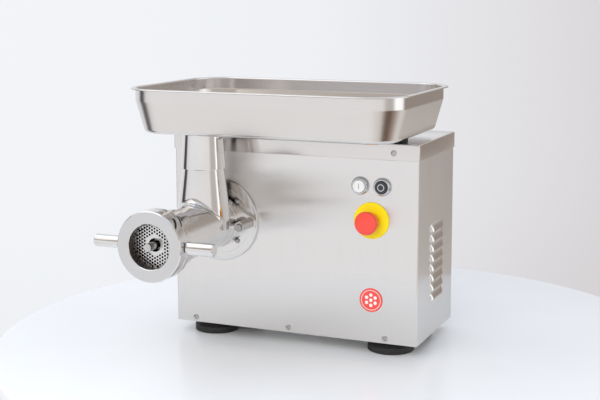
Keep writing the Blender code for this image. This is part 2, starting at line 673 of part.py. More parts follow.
def auger():
    """Feed screw: a helical flight round a tapered core, with a hexagonal tang and a front stud."""
    front = PLATE_BACK - KNIFE_T - 0.0006
    knife_hex_end = PLATE_BACK - GAP
    body = turned("auger", [
        (0, AUGER_STUD_END), (AUGER_STUD_R - 0.001, AUGER_STUD_END), (AUGER_STUD_R, AUGER_STUD_END - 0.001),
        (AUGER_STUD_R, front), (AUGER_CORE_R - 0.002, front), (AUGER_CORE_R, front - 0.02),
        (AUGER_CORE_R + 0.004, AUGER_BACK + 0.01), (AUGER_CORE_R + 0.004, AUGER_BACK), (0, AUGER_BACK)],
        STEEL, head_at(), steps=16)
    flight_back = AUGER_BACK + 0.006
    travel = front - 0.002 - FLIGHT_T - flight_back
    turns = travel / FLIGHT_PITCH
    bm = bmesh.new()
    inner = AUGER_CORE_R - 0.005
    corners = [
        bm.verts.new((r, 0, flight_back + z))
        for r, z in ((inner, 0), (FLIGHT_R, FLIGHT_T * 0.25), (FLIGHT_R, FLIGHT_T * 0.75), (inner, FLIGHT_T))]
    first = bm.faces.new(corners)
    steps = int(turns * 12)
    bmesh.ops.spin(
        bm, geom=[first, *first.edges, *first.verts], cent=(0, 0, 0), axis=(0, 0, 1),
        dvec=(0, 0, travel / steps), angle=turns * 2 * math.pi, steps=steps)
    bmesh.ops.recalc_face_normals(bm, faces=bm.faces)
    flight = place(from_bmesh("auger_flight", bm), None, head_at(), True)
    hexagon = slab("auger_knife_hex", [circle(AUGER_CORE_R - 0.0035, 6)], front - 0.002, knife_hex_end, None,
                   head_at())
    tang = slab("auger_tang", [circle(TANG_R, 6)], -0.0135, AUGER_BACK + 0.002, None, head_at())
    add(body, flight, hexagon, tang)


def cross_knife():
    """Four-bladed knife on the auger's hexagon, swept a little, just behind the hole plate."""
    hub = 0.0145
    outline = []
    for blade in range(4):
        base = blade * math.pi / 2
        for radius, angle in ((hub, -0.62), (KNIFE_R * 0.96, -0.10), (KNIFE_R, 0.08), (hub, 0.36)):
            outline.append((radius * math.cos(base + angle), radius * math.sin(base + angle)))
    back = PLATE_BACK - GAP - KNIFE_T
    slab("cross_knife", [outline, circle(AUGER_CORE_R - 0.0035 + GAP, 6)], back, PLATE_BACK - GAP, STEEL,
         head_at())


# ---------------------------------------------------------------- drive
def gear_outline(teeth, phase):
    """Straight-flanked teeth, thin enough to turn freely in mesh at the nominal centre distance."""
    pitch_r = GEAR_MODULE * teeth / 2
    step = 2 * math.pi / teeth
    corners = ((-0.28, pitch_r - 1.2 * GEAR_MODULE), (-0.11, pitch_r + 0.8 * GEAR_MODULE),
               (0.11, pitch_r + 0.8 * GEAR_MODULE), (0.28, pitch_r - 1.2 * GEAR_MODULE))
    outline = []
    for tooth in range(teeth):
        for share, radius in corners:
            angle = phase + (tooth + share) * step
            outline.append((radius * math.cos(angle), radius * math.sin(angle)))
    return outline


def mesh_phase(teeth, towards, tooth):
    """Phase that puts a tooth, or with tooth False a gap, at the angle named."""
    return towards + (0 if tooth else math.pi / teeth)


def gears():
    back = math.pi + TRAIN_ANGLE
    wheel, pinion = WHEEL_TEETH, PINION_TEETH
    shaft = OUTPUT_SHAFT_R + GAP
    slab("output_gear", [gear_outline(wheel, mesh_phase(wheel, TRAIN_ANGLE, False)), circle(shaft, 24)],
         -WHEEL_PLANE, -WHEEL_PLANE - GEAR_W, CAST, head_at())
    idler_bore = IDLER_SHAFT_R + GAP
    slab("idler_gear", [gear_outline(wheel, mesh_phase(wheel, TRAIN_ANGLE, False)), circle(idler_bore, 20)],
         -IDLER_PLANE, -IDLER_PLANE - GEAR_W, CAST, train_at(1))
    idler = disc("idler_shaft", IDLER_SHAFT_R, -GEARBOX_FRONT - 0.001, -GEARBOX_BACK + 0.001, STEEL,
                 train_at(1), steps=20)
    add(idler, slab("idler_pinion_teeth", [gear_outline(pinion, mesh_phase(pinion, back, True))],
                    -WHEEL_PLANE, -WHEEL_PLANE - GEAR_W, None, train_at(1)))
    rotor = disc("motor_shaft", MOTOR_SHAFT_R, -IDLER_PLANE + 0.001, -MOTOR_BACK - COWL_LENGTH + 0.006, STEEL,
                 train_at(2), steps=20)
    add(rotor, slab("motor_pinion_teeth", [gear_outline(pinion, mesh_phase(pinion, back, True))],
                    -IDLER_PLANE, -IDLER_PLANE - GEAR_W, None, train_at(2)))


def output_shaft():
    front, step, back = AUGER_BACK - 0.006, -WHEEL_PLANE - GEAR_W - 0.001, -GEARBOX_BACK + 0.002
    shaft = turned("output_shaft", [
        (0, front), (OUTPUT_SHAFT_R, front), (OUTPUT_SHAFT_R, step), (OUTPUT_TAIL_R, step),
        (OUTPUT_TAIL_R, back), (0, back)], STEEL, head_at(), steps=20)
    cut(shaft, slab("tang_socket", [circle(TANG_R + 0.0004, 6)], AUGER_BACK, -0.014, None, head_at()))


def gearbox():
    """Aluminium case, open at the back, and its cover; both carry the shafts' bearings."""
    span = 2 * CENTRE_DISTANCE
    ends = [(0, 0), (span * math.cos(TRAIN_ANGLE), span * math.sin(TRAIN_ANGLE))]
    outer = around([(x, y, GEARBOX_R) for x, y in ends])
    inner = around([(x, y, GEARBOX_R - GEARBOX_WALL) for x, y in ends])
    body = slab("gearbox_body", [outer], -GEARBOX_FRONT, -GEARBOX_BACK, CAST, head_at())
    cut(body, slab("gearbox_space", [inner], -GEARBOX_FRONT - GEARBOX_WALL, -GEARBOX_BACK - 0.01, None,
                   head_at()))
    cut(body, disc("output_seat", BEARING_R + GAP, 0.01, -0.02, None, head_at(), steps=20))
    cut(body, disc("idler_seat", IDLER_SHAFT_R + GAP, 0.01, -0.02, None, train_at(1), steps=20))
    cover = slab("gearbox_cover", [outer], -GEARBOX_BACK - GAP, -COVER_BACK, CAST, head_at())
    cut(cover, disc("motor_opening", MOTOR_BEARING_R + GAP, 0, -0.1, None, train_at(2), steps=24))
    tube("output_bearing", BEARING_R, OUTPUT_SHAFT_R + GAP, -GEARBOX_FRONT, -WHEEL_PLANE + 0.001, STEEL,
         head_at(), steps=20)
    tube("motor_bearing_front", MOTOR_BEARING_R, MOTOR_SHAFT_R + GAP, -GEARBOX_BACK + 0.002, -COVER_BACK,
         STEEL, train_at(2), steps=24)


def motor():
    at = train_at(2)
    front, back = -MOTOR_FRONT, -MOTOR_BACK
    inside = MOTOR_R - MOTOR_WALL
    tube("motor_frame", MOTOR_R, inside, front, back, GREY, at)
    tube("stator_core", inside - GAP, AIR_GAP_R, front - 0.014, back + 0.012, COPPER, at)
    tube("rotor_core", AIR_GAP_R - 0.0005, MOTOR_SHAFT_R + GAP, front - 0.016, back + 0.014, CAST, at,
         steps=20)
    shield = back - GAP
    behind = shield - END_SHIELD_T
    tube("motor_end_shield", MOTOR_R, MOTOR_BEARING_R + GAP, shield, behind, GREY, at)
    tube("motor_bearing_rear", MOTOR_BEARING_R, MOTOR_SHAFT_R + GAP, shield, behind, STEEL, at, steps=24)
    cooling_fan(at, behind - 0.002)
    fan_cowl(at, behind)


def cooling_fan(at, front):
    hub = tube("cooling_fan", MOTOR_SHAFT_R + 0.006, MOTOR_SHAFT_R + GAP, front, front - FAN_DEPTH, BLACK, at,
               steps=20)
    root = MOTOR_SHAFT_R + 0.004
    for blade in range(6):
        vane = box(f"fan_vane_{blade}", (0, 0, 0), (FAN_R - root, 0.002, FAN_DEPTH - 0.002), None)
        vane.data.transform(Matrix.Translation((root + (FAN_R - root) / 2, 0, 0)))
        vane.data.transform(Matrix.Rotation(math.radians(60) * blade, 4, "Z"))
        vane.location = at - Vector((0, front - FAN_DEPTH / 2, 0))
        vane.rotation_euler = (math.radians(90), 0, 0)
        add(hub, vane)


def fan_cowl(at, behind):
    back = behind - COWL_LENGTH
    rim = MOTOR_R - COWL_SHEET
    turned("fan_cowl", [
        (MOTOR_R, behind - 0.0005), (MOTOR_R, back + 0.006), (MOTOR_R - 0.006, back), (COWL_INTAKE_R, back),
        (COWL_INTAKE_R, back + COWL_SHEET), (MOTOR_R - 0.007, back + COWL_SHEET), (rim, back + 0.007),
        (rim, behind - 0.0005)], BLACK, at, ring=True)


def electrics():
    """Contactor and run capacitor, on the base plate to the right of the motor."""
    floor = BASE_SHEET + GAP
    x, y = HOUSING_W - CONTACTOR_INSET[0] - CONTACTOR[0], CONTACTOR_INSET[1]
    box("contactor", (x, y, floor), (x + CONTACTOR[0], y + CONTACTOR[1], floor + CONTACTOR[2]), GREY)
    radius, height = CAPACITOR
    turned("run_capacitor", [
        (0, height), (radius - 0.0015, height), (radius, height - 0.002), (radius, floor), (0, floor)],
        WHITE, (HOUSING_W - CAPACITOR_INSET[0], CAPACITOR_INSET[1], 0), False, 20)


# ---------------------------------------------------------------- controls
def push_button(word, x, cap_look):
    tail = BUTTON_HOLE_R - GAP
    floor = GAP + 0.0008
    bore = CAP_R + GAP
    guide = BUTTON_STEM_R + GAP
    at = (x, 0, BUTTON_Z)
    turned(f"{word}_bezel", [
        (BEZEL_R - 0.001, BEZEL_H), (BEZEL_R, BEZEL_H - 0.0015), (BEZEL_R, GAP), (tail, GAP),
        (tail, -BUTTON_TAIL), (guide, -BUTTON_TAIL), (guide, floor), (bore, floor), (bore, BEZEL_H)],
        STEEL, at, steps=18, ring=True)
    seat = floor + BUTTON_TRAVEL + GAP
    turned(f"{word}_button", [
        (0, CAP_PROUD), (CAP_R - 0.0012, CAP_PROUD), (CAP_R, CAP_PROUD - 0.0012), (CAP_R, seat),
        (BUTTON_STEM_R, seat), (BUTTON_STEM_R, -BUTTON_TAIL - 0.002), (0, -BUTTON_TAIL - 0.002)],
        cap_look, at, steps=18)


def emergency_stop():
    at = (ESTOP_X, 0, ESTOP_Z)
    disc_h = 0.003
    neck = BUTTON_HOLE_R - 0.0007
    turned("estop_disc", [
        (ESTOP_DISC_R - 0.001, disc_h), (ESTOP_DISC_R, disc_h - 0.001), (ESTOP_DISC_R, GAP),
        (neck + 0.001, GAP), (neck + 0.001, disc_h)], YELLOW, at, steps=20, ring=True)
    stem, top = ESTOP_STEM_R, ESTOP_STEM_PROUD
    turned("estop_stem", [
        (0, top), (stem, top), (stem, 0.007), (neck, 0.007), (neck, -0.014), (0, -0.014)], GREY, at, steps=20)
    front = ESTOP_PROUD
    turned("estop_mushroom", [
        (0, front), (ESTOP_R - 0.006, front - 0.0006), (ESTOP_R - 0.001, front - 0.002),
        (ESTOP_R, front - 0.004), (ESTOP_R - 0.0002, front - 0.008), (ESTOP_R - 0.003, 0.012),
        (0.012, 0.009), (stem + GAP, 0.009), (stem + GAP, top + GAP), (0, top + GAP)],
        RED, at, steps=22)


def contact_blocks():
    front = SHEET + 0.022
    width, depth, height = CONTACT_BLOCK
    for word, x, z in (("start", START_X, BUTTON_Z), ("stop", STOP_X, BUTTON_Z), ("estop", ESTOP_X, ESTOP_Z)):
        box(f"{word}_contact_block", (x - width / 2, front, z - height / 2),
            (x + width / 2, front + depth, z + height / 2), GREY)


def badge():
    turned("badge", [
        (0, BADGE_T), (BADGE_R - 0.0004, BADGE_T), (BADGE_R, BADGE_T - 0.0004), (BADGE_R, GAP), (0, GAP)],
        RED, (ESTOP_X, 0, BADGE_Z), steps=24)


# ---------------------------------------------------------------- tray
def rounded(x_range, y_range, corner, grow, segments=5):
    """Outline of a rectangle with round corners, grown by an even margin."""
    radius = max(corner + grow, 0.002)
    x0, x1 = x_range[0] - grow + radius, x_range[1] + grow - radius
    y0, y1 = y_range[0] - grow + radius, y_range[1] + grow - radius
    outline = []
    for quarter, (x, y) in enumerate(((x1, y1), (x0, y1), (x0, y0), (x1, y0))):
        for i in range(segments + 1):
            angle = math.radians(90) * (quarter + i / segments)
            outline.append((x + radius * math.cos(angle), y + radius * math.sin(angle)))
    return outline


def feed_tray():
    """Pressed sheet pan: floor, round lower edge, sloping wall, upright band and a lip turned out."""
    fillet_mid = TRAY_FILLET * (1 - math.sqrt(0.5))
    inside = -TRAY_TAPER
    levels = [
        (inside - TRAY_FILLET, TRAY_FLOOR), (inside - fillet_mid, TRAY_FLOOR + fillet_mid),
        (inside, TRAY_FLOOR + TRAY_FILLET), (-0.0015, TRAY_RIM - TRAY_BAND - 0.002),
        (0, TRAY_RIM - TRAY_BAND), (0, TRAY_RIM - TRAY_SHEET), (TRAY_LIP, TRAY_RIM - TRAY_SHEET)]
    bm = bmesh.new()
    rings = [
        [bm.verts.new((x, y, z)) for x, y in rounded(TRAY_X, TRAY_Y, TRAY_CORNER, grow)]
        for grow, z in levels]
    bm.faces.new(rings[0][::-1])
    for lower, upper in zip(rings, rings[1:]):
        for i in range(len(lower)):
            bm.faces.new((lower[i - 1], lower[i], upper[i], upper[i - 1]))
    tray = place(from_bmesh("feed_tray", bm), STEEL, (0, 0, 0), False)
    thicken(tray, TRAY_SHEET)
    cut(tray, disc("spout_hole", SPOUT_R_TOP + GAP, TRAY_FLOOR + 0.005, TRAY_FLOOR - 0.005, None,
                   (HEAD_X, -THROAT_REACH, 0), False, 24))


def tray_spout():
    """Tapered collar welded into the tray's floor; it drops over the head's throat."""
    top = TRAY_FLOOR + TRAY_SHEET
    wall = SPOUT_SHEET
    turned("tray_spout", [
        (SPOUT_R_TOP, top), (SPOUT_R_LOW, SPOUT_LOW), (SPOUT_R_LOW - wall, SPOUT_LOW),
        (SPOUT_R_TOP - wall, top)], POLISHED, (HEAD_X, -THROAT_REACH, 0), False, 24, ring=True)


# ---------------------------------------------------------------- assembly
housing_shell()
base_plate()
rear_panel()
cable_gland()
top_lid()
feet()
lid_bumpers()
head_mounting()
grinding_head()
shaft_seal()
hole_plate()
ring_nut()
ring_handle("left", -1)
ring_handle("right", 1)
auger()
cross_knife()
gears()
output_shaft()
gearbox()
motor()
electrics()
push_button("start", START_X, WHITE)
push_button("stop", STOP_X, BLACK)
emergency_stop()
contact_blocks()
badge()
feed_tray()
tray_spout()
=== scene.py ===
"""Electric meat grinder: fine shapes, finishes, light and camera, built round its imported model."""
from math import asin, atan, atan2, cos, hypot, pi, radians, sin, sqrt, tan

import bmesh
import bpy
from mathutils import Matrix, Vector


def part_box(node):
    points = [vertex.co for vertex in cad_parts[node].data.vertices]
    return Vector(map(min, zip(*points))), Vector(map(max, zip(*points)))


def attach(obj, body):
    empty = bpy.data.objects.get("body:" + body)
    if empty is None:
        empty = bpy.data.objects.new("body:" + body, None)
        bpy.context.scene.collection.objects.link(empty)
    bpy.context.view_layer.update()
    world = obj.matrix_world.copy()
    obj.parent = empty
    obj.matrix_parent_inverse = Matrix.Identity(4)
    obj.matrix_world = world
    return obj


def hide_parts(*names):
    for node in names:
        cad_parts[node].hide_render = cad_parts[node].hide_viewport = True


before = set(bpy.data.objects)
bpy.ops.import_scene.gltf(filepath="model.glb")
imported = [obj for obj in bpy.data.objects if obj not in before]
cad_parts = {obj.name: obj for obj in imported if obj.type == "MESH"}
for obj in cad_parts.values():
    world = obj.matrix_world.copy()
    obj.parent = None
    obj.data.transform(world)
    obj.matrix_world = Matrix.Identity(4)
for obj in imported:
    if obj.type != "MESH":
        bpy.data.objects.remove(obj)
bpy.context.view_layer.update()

# ---------------- sizes, in metres
GAP = 0.0003                 # assembly gap that touching pieces keep
SHEET = 0.0015               # housing sheet
BEND = 0.0022                # outside of its folds
LID_OVERHANG = 0.0019
CONTROL_HOLE_R = 0.0112      # holes in the front panel
HEAD_HOLE_R = 0.040
LOUVRES = 8
LOUVRE_PITCH = 0.0165
LOUVRE_FOOT = 0.060          # lowest louvre above the panel's lower edge
LOUVRE_Y = (0.070, 0.137)    # its near and far end behind the front panel
LOUVRE_H = 0.0135
LOUVRE_END = 0.012           # rounded stretch at each end of a louvre
LOUVRE_SLOT = 0.006
LOUVRE_SHEET = 0.0011
REAR_SLOTS = 6
REAR_SLOT_PITCH = 0.014
REAR_SLOT_HALF = 0.0025      # half of a slot's height
REAR_SLOT_R = 0.052          # the slots end on this circle
GLAND_HOLE_R = 0.0077
SCREW_R = 0.0050             # small panel screws
SCREW_H = 0.0016
STUD_HOLE_R = 0.0053
EAR_THICK = 0.009            # two-eared flange of the head
EAR_TIP = 0.012
TRAY_SHEET = 0.0012
TRAY_CORNER = 0.060
TRAY_BAND = 0.020
TRAY_LIP = 0.008
TRAY_TAPER = 0.0140
TRAY_FILLET = 0.0084
TRAY_HOLE_R = 0.0333
SPOUT_TOP_R = 0.0330
SPOUT_WALL = 0.0015
THROAT_WAIST = (0.0408, 0.0435)   # radius, and height above the head's axis
THROAT_TOP = (0.0295, 0.1340)
THROAT_FRONT_FILLET = 0.012
THROAT_REAR_FILLET = 0.004
BARREL_R = 0.0425
COLLAR_R = BARREL_R + 0.0013
MOUTH_R = 0.0460             # where the casting widens for its thread
MOUTH_START = 0.1675         # in front of the panel
MOUTH_FULL = 0.1710
COLLAR_LENGTH = 0.025
THREAD_R = 0.0464
THREAD_LENGTH = 0.017
RING_OPENING = 0.035
HOLE_R = 0.00165
HOLE_PITCH = 0.0051
SOLID_HEX = 0.0180
PLATE_RIM = 0.0055
PLATE_BORE_R = 0.0105
KEY_NOTCH = 0.0016           # half of the notch's width
FLIGHT_PITCH = 0.040         # feed screw
FLIGHT_THICK = 0.006
FLIGHT_STEPS = 48            # to a turn
TABLE_R = 0.582
TABLE_THICK = 0.024
TABLE_PLACE = (0.0718, 0.0925, -0.0002)
CAMERA_PLACE = (0.7908, -1.7880, 0.5897)
CAMERA_DOWN = 7.085          # degrees
CAMERA_LEFT = 22.852
LENS = 72.22                 # millimetres
ROOM_LIGHT = 1.6             # strength of the room's colours


# ---------------- places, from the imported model
def low(node):
    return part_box(node)[0]


def high(node):
    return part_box(node)[1]


def middle(node):
    return (low(node) + high(node)) / 2


def half_width(node):
    return (high(node).x - low(node).x) / 2


LEFT = low("housing_shell").x
RIGHT = high("top_lid").x - LID_OVERHANG
PANEL = low("housing_shell").y
BACK = high("housing_shell").y
UNDERSIDE = low("housing_shell").z
LID_TOP = high("top_lid").z
LID_EDGE = low("top_lid").z
AXIS = middle("hole_plate")
HEAD = Vector((AXIS.x, PANEL, AXIS.z))
THROAT = Vector((AXIS.x, middle("tray_spout").y, AXIS.z))
FRONT = Matrix.Rotation(radians(90), 4, "X")    # turns local Z to the machine's front
BEHIND = Matrix.Rotation(radians(-90), 4, "X")  # and to its back
STUDS = ("head_stud_left", "head_stud_right")


def reach(y):
    """How far a point stands in front of the housing's front panel."""
    return PANEL - y


def ends(node):
    """How far a piece's front and its back stand in front of the front panel."""
    return reach(low(node).y), reach(high(node).y)


def on_panel(node):
    """Where a piece's axis meets the front panel."""
    return middle(node).x, PANEL, middle(node).z


def sideways(side):
    """Turns local Z to the right for side 1 and to the left for -1."""
    return Matrix.Rotation(side * radians(90), 4, "Y")


# ---------------- meshes
def finished(name, bm, sharp=32):
    """An object from a bmesh, its faces pointing out and its round parts smooth."""
    bmesh.ops.recalc_face_normals(bm, faces=bm.faces)
    mesh = bpy.data.meshes.new(name)
    bm.to_mesh(mesh)
    bm.free()
    mesh.shade_smooth()
    mesh.set_sharp_from_angle(angle=radians(sharp))
    piece = bpy.data.objects.new(name, mesh)
    bpy.context.scene.collection.objects.link(piece)
    return piece


def skin(bm, upper, lower):
    """Faces between two rings of points, either of which may be a single point."""
    for i in range(max(len(upper), len(lower))):
        corners = [upper[i - 1], upper[i % len(upper)]] if len(upper) > 1 else [upper[0]]
        corners += [lower[i % len(lower)], lower[i - 1]] if len(lower) > 1 else [lower[0]]
        bm.faces.new(corners)


def lofted(name, rings, closed=False, capped=True, sharp=32):
    """A skin through rings of points; closed joins the last to the first, capped shuts both ends."""
    bm = bmesh.new()
    loops = [[bm.verts.new(p) for p in ring] for ring in rings]
    for upper, lower in zip(loops, loops[1:]):
        skin(bm, upper, lower)
    if closed:
        skin(bm, loops[-1], loops[0])
    elif capped:
        for loop in (loops[0], loops[-1]):
            if len(loop) > 2:
                bm.faces.new(loop)
    return finished(name, bm, sharp)


def corner_arc(before, here, after, radius, steps):
    """The arc that rounds one corner of a flat line."""
    back, on = (before - here).normalized(), (after - here).normalized()
    half = back.angle(on) / 2
    if radius <= 0 or half > radians(88):
        return [here]
    centre = here + (back + on).normalized() * radius / sin(half)
    first = here + back * radius / tan(half) - centre
    last = here + on * radius / tan(half) - centre
    start = atan2(first.y, first.x)
    sweep = (atan2(last.y, last.x) - start + pi) % (2 * pi) - pi
    angles = [start + sweep * i / steps for i in range(steps + 1)]
    return [centre + radius * Vector((cos(a), sin(a))) for a in angles]


def rounded_line(points, closed=False, steps=5):
    """A flat line from (a, b) or (a, b, fillet radius) points, with its corners rounded."""
    line = []
    for i, point in enumerate(points):
        here = Vector(point[:2])
        inside = closed or 0 < i < len(points) - 1
        radius = point[2] if len(point) > 2 and inside else 0
        before, after = Vector(points[i - 1][:2]), Vector(points[(i + 1) % len(points)][:2])
        line += corner_arc(before, here, after, radius, steps)
    return line


def turned(name, points, ring=False, steps=96, sharp=32):
    """Turn (radius, height, fillet) points about local Z; a ring's profile is closed."""
    rings = []
    for r, z in rounded_line(points, ring):
        angles = [2 * pi * i / steps for i in range(steps)]
        rings.append([(0, 0, z)] if r < 1e-6 else [(r * cos(a), r * sin(a), z) for a in angles])
    return lofted(name, rings, closed=ring, capped=False, sharp=sharp)


def drill(radius, near, far, steps=96):
    """A tool that cuts a round hole along local Z."""
    return turned("hole", [(0, far), (radius, far), (radius, near), (0, near)], steps=steps)


def circle(radius, points=32, centre=(0, 0), start=0.0):
    angles = [start + 2 * pi * i / points for i in range(points)]
    return [(centre[0] + radius * cos(a), centre[1] + radius * sin(a)) for a in angles]


def plate(name, outlines, bottom, top, edge=0.0003, sharp=32):
    """A flat plate from outlines, the first its edge and the others holes, with softened edges."""
    curve = bpy.data.curves.new(name, "CURVE")
    curve.dimensions = "2D"
    curve.fill_mode = "BOTH"
    curve.extrude = (top - bottom) / 2 - edge
    curve.bevel_depth = edge
    curve.bevel_resolution = 1
    curve.offset = -edge
    for number, outline in enumerate(outlines):
        spline = curve.splines.new("POLY")
        spline.points.add(len(outline) - 1)
        for point, (x, y) in zip(spline.points, outline if number == 0 else outline[::-1]):
            point.co = (x, y, 0, 1)
        spline.use_cyclic_u = True
    drawn = bpy.data.objects.new(name, curve)
    bpy.context.scene.collection.objects.link(drawn)
    bpy.context.view_layer.update()
    mesh = bpy.data.meshes.new_from_object(drawn.evaluated_get(bpy.context.evaluated_depsgraph_get()))
    bpy.data.objects.remove(drawn)
    bpy.data.curves.remove(curve)
    bm = bmesh.new()
    bm.from_mesh(mesh)
    bpy.data.meshes.remove(mesh)
    bmesh.ops.remove_doubles(bm, verts=bm.verts, dist=0.00001)
    bmesh.ops.translate(bm, vec=(0, 0, (top + bottom) / 2), verts=bm.verts)
    return finished(name, bm, sharp)


def block(name, corner, opposite):
    """A box between two opposite corners."""
    bm = bmesh.new()
    bmesh.ops.create_cube(bm, size=1)
    corner, opposite = Vector(corner), Vector(opposite)
    bmesh.ops.scale(bm, vec=opposite - corner, verts=bm.verts)
    bmesh.ops.translate(bm, vec=(corner + opposite) / 2, verts=bm.verts)
    return finished(name, bm)


def settle(piece):
    """Apply a piece's modifiers to its mesh."""
    bpy.context.view_layer.update()
    mesh = bpy.data.meshes.new_from_object(piece.evaluated_get(bpy.context.evaluated_depsgraph_get()))
    piece.modifiers.clear()
    piece.data = mesh
    return piece


def combined(piece, tools, operation):
    """Cut tools out of a piece, or join them to it, and remove the tools."""
    for tool in tools:
        step = piece.modifiers.new(tool.name, "BOOLEAN")
        step.operation = operation
        step.object = tool
    settle(piece)
    for tool in tools:
        bpy.data.objects.remove(tool)
    piece.data.shade_smooth()
    piece.data.set_sharp_from_angle(angle=radians(32))
    return piece


def gathered(name, parts, sharp=32):
    """Several objects as one, each where it stands."""
    bm = bmesh.new()
    bpy.context.view_layer.update()
    for part in parts:
        mesh = part.data.copy()
        mesh.transform(part.matrix_world)
        bm.from_mesh(mesh)
        bpy.data.meshes.remove(mesh)
        bpy.data.objects.remove(part)
    return finished(name, bm, sharp)


def thickened(piece, thickness):
    """Give a skin the thickness of its sheet, on the side that its faces point away from."""
    solid = piece.modifiers.new("sheet", "SOLIDIFY")
    solid.thickness = thickness
    solid.offset = -1
    solid.use_even_offset = True
    settle(piece)
    piece.data.shade_smooth()
    piece.data.set_sharp_from_angle(angle=radians(32))
    return piece


def at(piece, place, turn=Matrix.Identity(4)):
    piece.matrix_world = Matrix.Translation(place) @ turn
    return piece


# ---------------- shader building
class Value:
    """One output of a shader node. Arithmetic on it adds Math nodes."""

    def __init__(self, shader, socket):
        self.shader = shader
        self.socket = socket

    def then(self, operation, *others):
        values = dict(enumerate((self, *others)))
        return self.shader.node("ShaderNodeMath", {"operation": operation}, values)

    def __add__(self, other):
        return self.then("ADD", other)

    def __sub__(self, other):
        return self.then("SUBTRACT", other)

    def __rsub__(self, other):
        return self.shader.node("ShaderNodeMath", {"operation": "SUBTRACT"}, {0: other, 1: self})

    def __mul__(self, other):
        return self.then("MULTIPLY", other)

    __radd__ = __add__
    __rmul__ = __mul__

    def step(self, low_end, high_end):
        """0 below low_end, 1 above high_end, smooth between."""
        settings = {"interpolation_type": "SMOOTHSTEP"}
        ends = {"Value": self, "From Min": low_end, "From Max": high_end}
        return self.shader.node("ShaderNodeMapRange", settings, ends)


class Shader:
    """A node tree with its Principled BSDF, or a world's with its Background."""

    def __init__(self, owner, main):
        owner.use_nodes = True
        self.tree = owner.node_tree
        self.owner = owner
        self.main = self.tree.nodes[main]

    def node(self, kind, settings=(), inputs=(), output=0):
        """Add a node: its settings first, then its inputs, each a value or another node's output."""
        made = self.tree.nodes.new(kind)
        settings = dict(settings)
        stops = settings.pop("stops", None)
        for name, value in settings.items():
            setattr(made, name, value)
        if stops:
            ramp = made.color_ramp.elements
            while len(ramp) < len(stops):
                ramp.new(0.5)
            for element, (position, colour) in zip(ramp, stops):
                element.position = position
                element.color = (*colour, 1)
        for name, value in dict(inputs).items():
            self.feed(made.inputs[name], value)
        return Value(self, made.outputs[output])

    def feed(self, socket, value):
        if isinstance(value, Value):
            self.tree.links.new(value.socket, socket)
        elif hasattr(socket.default_value, "__len__") and len(value) < len(socket.default_value):
            socket.default_value = (*value, 1)
        else:
            socket.default_value = value

    def set(self, **inputs):
        for name, value in inputs.items():
            self.feed(self.main.inputs[name.replace("_", " ")], value)
        return self.owner

    def place(self):
        return self.node("ShaderNodeTexCoord", (), (), "Object")

    def split(self, vector):
        """The three parts of a vector."""
        parts = self.node("ShaderNodeSeparateXYZ", (), {0: vector})
        return [Value(self, part) for part in parts.socket.node.outputs]

    def turning_lines(self, across, along=0.0):
        """Fine rings round the object's own Z, as a cutting tool leaves them."""
        x, y, z = self.split(self.place())
        radius = (x * x + y * y).then("SQRT")
        where = {"W": radius * across + z * along, "Scale": 1.0, "Detail": 2.0}
        return self.node("ShaderNodeTexNoise", {"noise_dimensions": "1D"}, where)

    def stretched(self, scale):
        """The object's own coordinates, each axis multiplied by its share of scale."""
        return self.node("ShaderNodeVectorMath", {"operation": "MULTIPLY"}, {0: self.place(), 1: scale})

    def noise(self, scale, detail=3.0, where=None, roughness=0.55):
        """Cloudy noise from 0 to 1; scale is its cells to a metre."""
        inputs = {"Vector": where or self.place(), "Scale": scale, "Detail": detail, "Roughness": roughness}
        return self.node("ShaderNodeTexNoise", (), inputs)

    def mix(self, share, first, second):
        """A colour between two colours."""
        settings = {"data_type": "RGBA"}
        return self.node("ShaderNodeMix", settings, {0: share, 6: first, 7: second}, 2)

    def bump(self, height, distance, strength=1.0):
        return self.node("ShaderNodeBump", (), {"Height": height, "Distance": distance, "Strength": strength})


def finish(name):
    return Shader(bpy.data.materials.new(name), "Principled BSDF")


# ---------------- finishes
STEEL = (0.770, 0.755, 0.742)
WARM_STEEL = (0.730, 0.708, 0.692)
CHROME = (0.760, 0.745, 0.735)
UPRIGHT_GRAIN = (5200.0, 5200.0, 30.0)
LEVEL_GRAIN = (60.0, 60.0, 5200.0)


def brushed_steel(name, grain, colour=STEEL, rough=0.20, lines=0.010, smear=0.0, turn=0.0):
    """Satin sheet: fine scratches along the axis with the small number in grain, and soft handling marks.

    Reflections smear across the grain: smear is how much, and turn 0.25 sets the smear upright.
    """
    paint = finish(name)
    scratches = paint.noise(1.0, 2.0, paint.stretched(grain), 0.7)
    streaks = paint.noise(0.15, 2.0, paint.stretched(grain), 0.6)
    cloud = paint.noise(9.0, 3.0)
    tone = paint.mix(cloud.step(0.30, 0.75), [0.97 * c for c in colour], colour)
    worn = paint.mix((scratches * 0.7 + streaks * 0.3).step(0.35, 0.70), tone, [1.02 * c for c in colour])
    return paint.set(
        Base_Color=worn, Metallic=1.0, Roughness=rough - 0.03 + cloud * 0.04 + scratches * 0.04,
        Anisotropic=smear, Anisotropic_Rotation=turn,
        Normal=paint.bump(scratches * 0.92 + streaks * 0.08, lines * 0.001, 0.8))


def polished_steel(name, colour=CHROME, rough=0.040, rings=0.0, smear=0.0):
    """Buffed casting: nearly a mirror, with faint waves from the wheel, and turning lines where asked."""
    paint = finish(name)
    waves = paint.noise(55.0, 2.0)
    smears = paint.noise(14.0, 3.0)
    height = waves * 0.00006
    if rings:
        height = height + paint.turning_lines(1800.0) * rings
    tone = paint.mix(smears.step(0.35, 0.70), [0.96 * c for c in colour], colour)
    return paint.set(
        Base_Color=tone, Metallic=1.0, Roughness=rough + smears * 0.05, Anisotropic=smear,
        Normal=paint.bump(height, 1.0, 0.8))


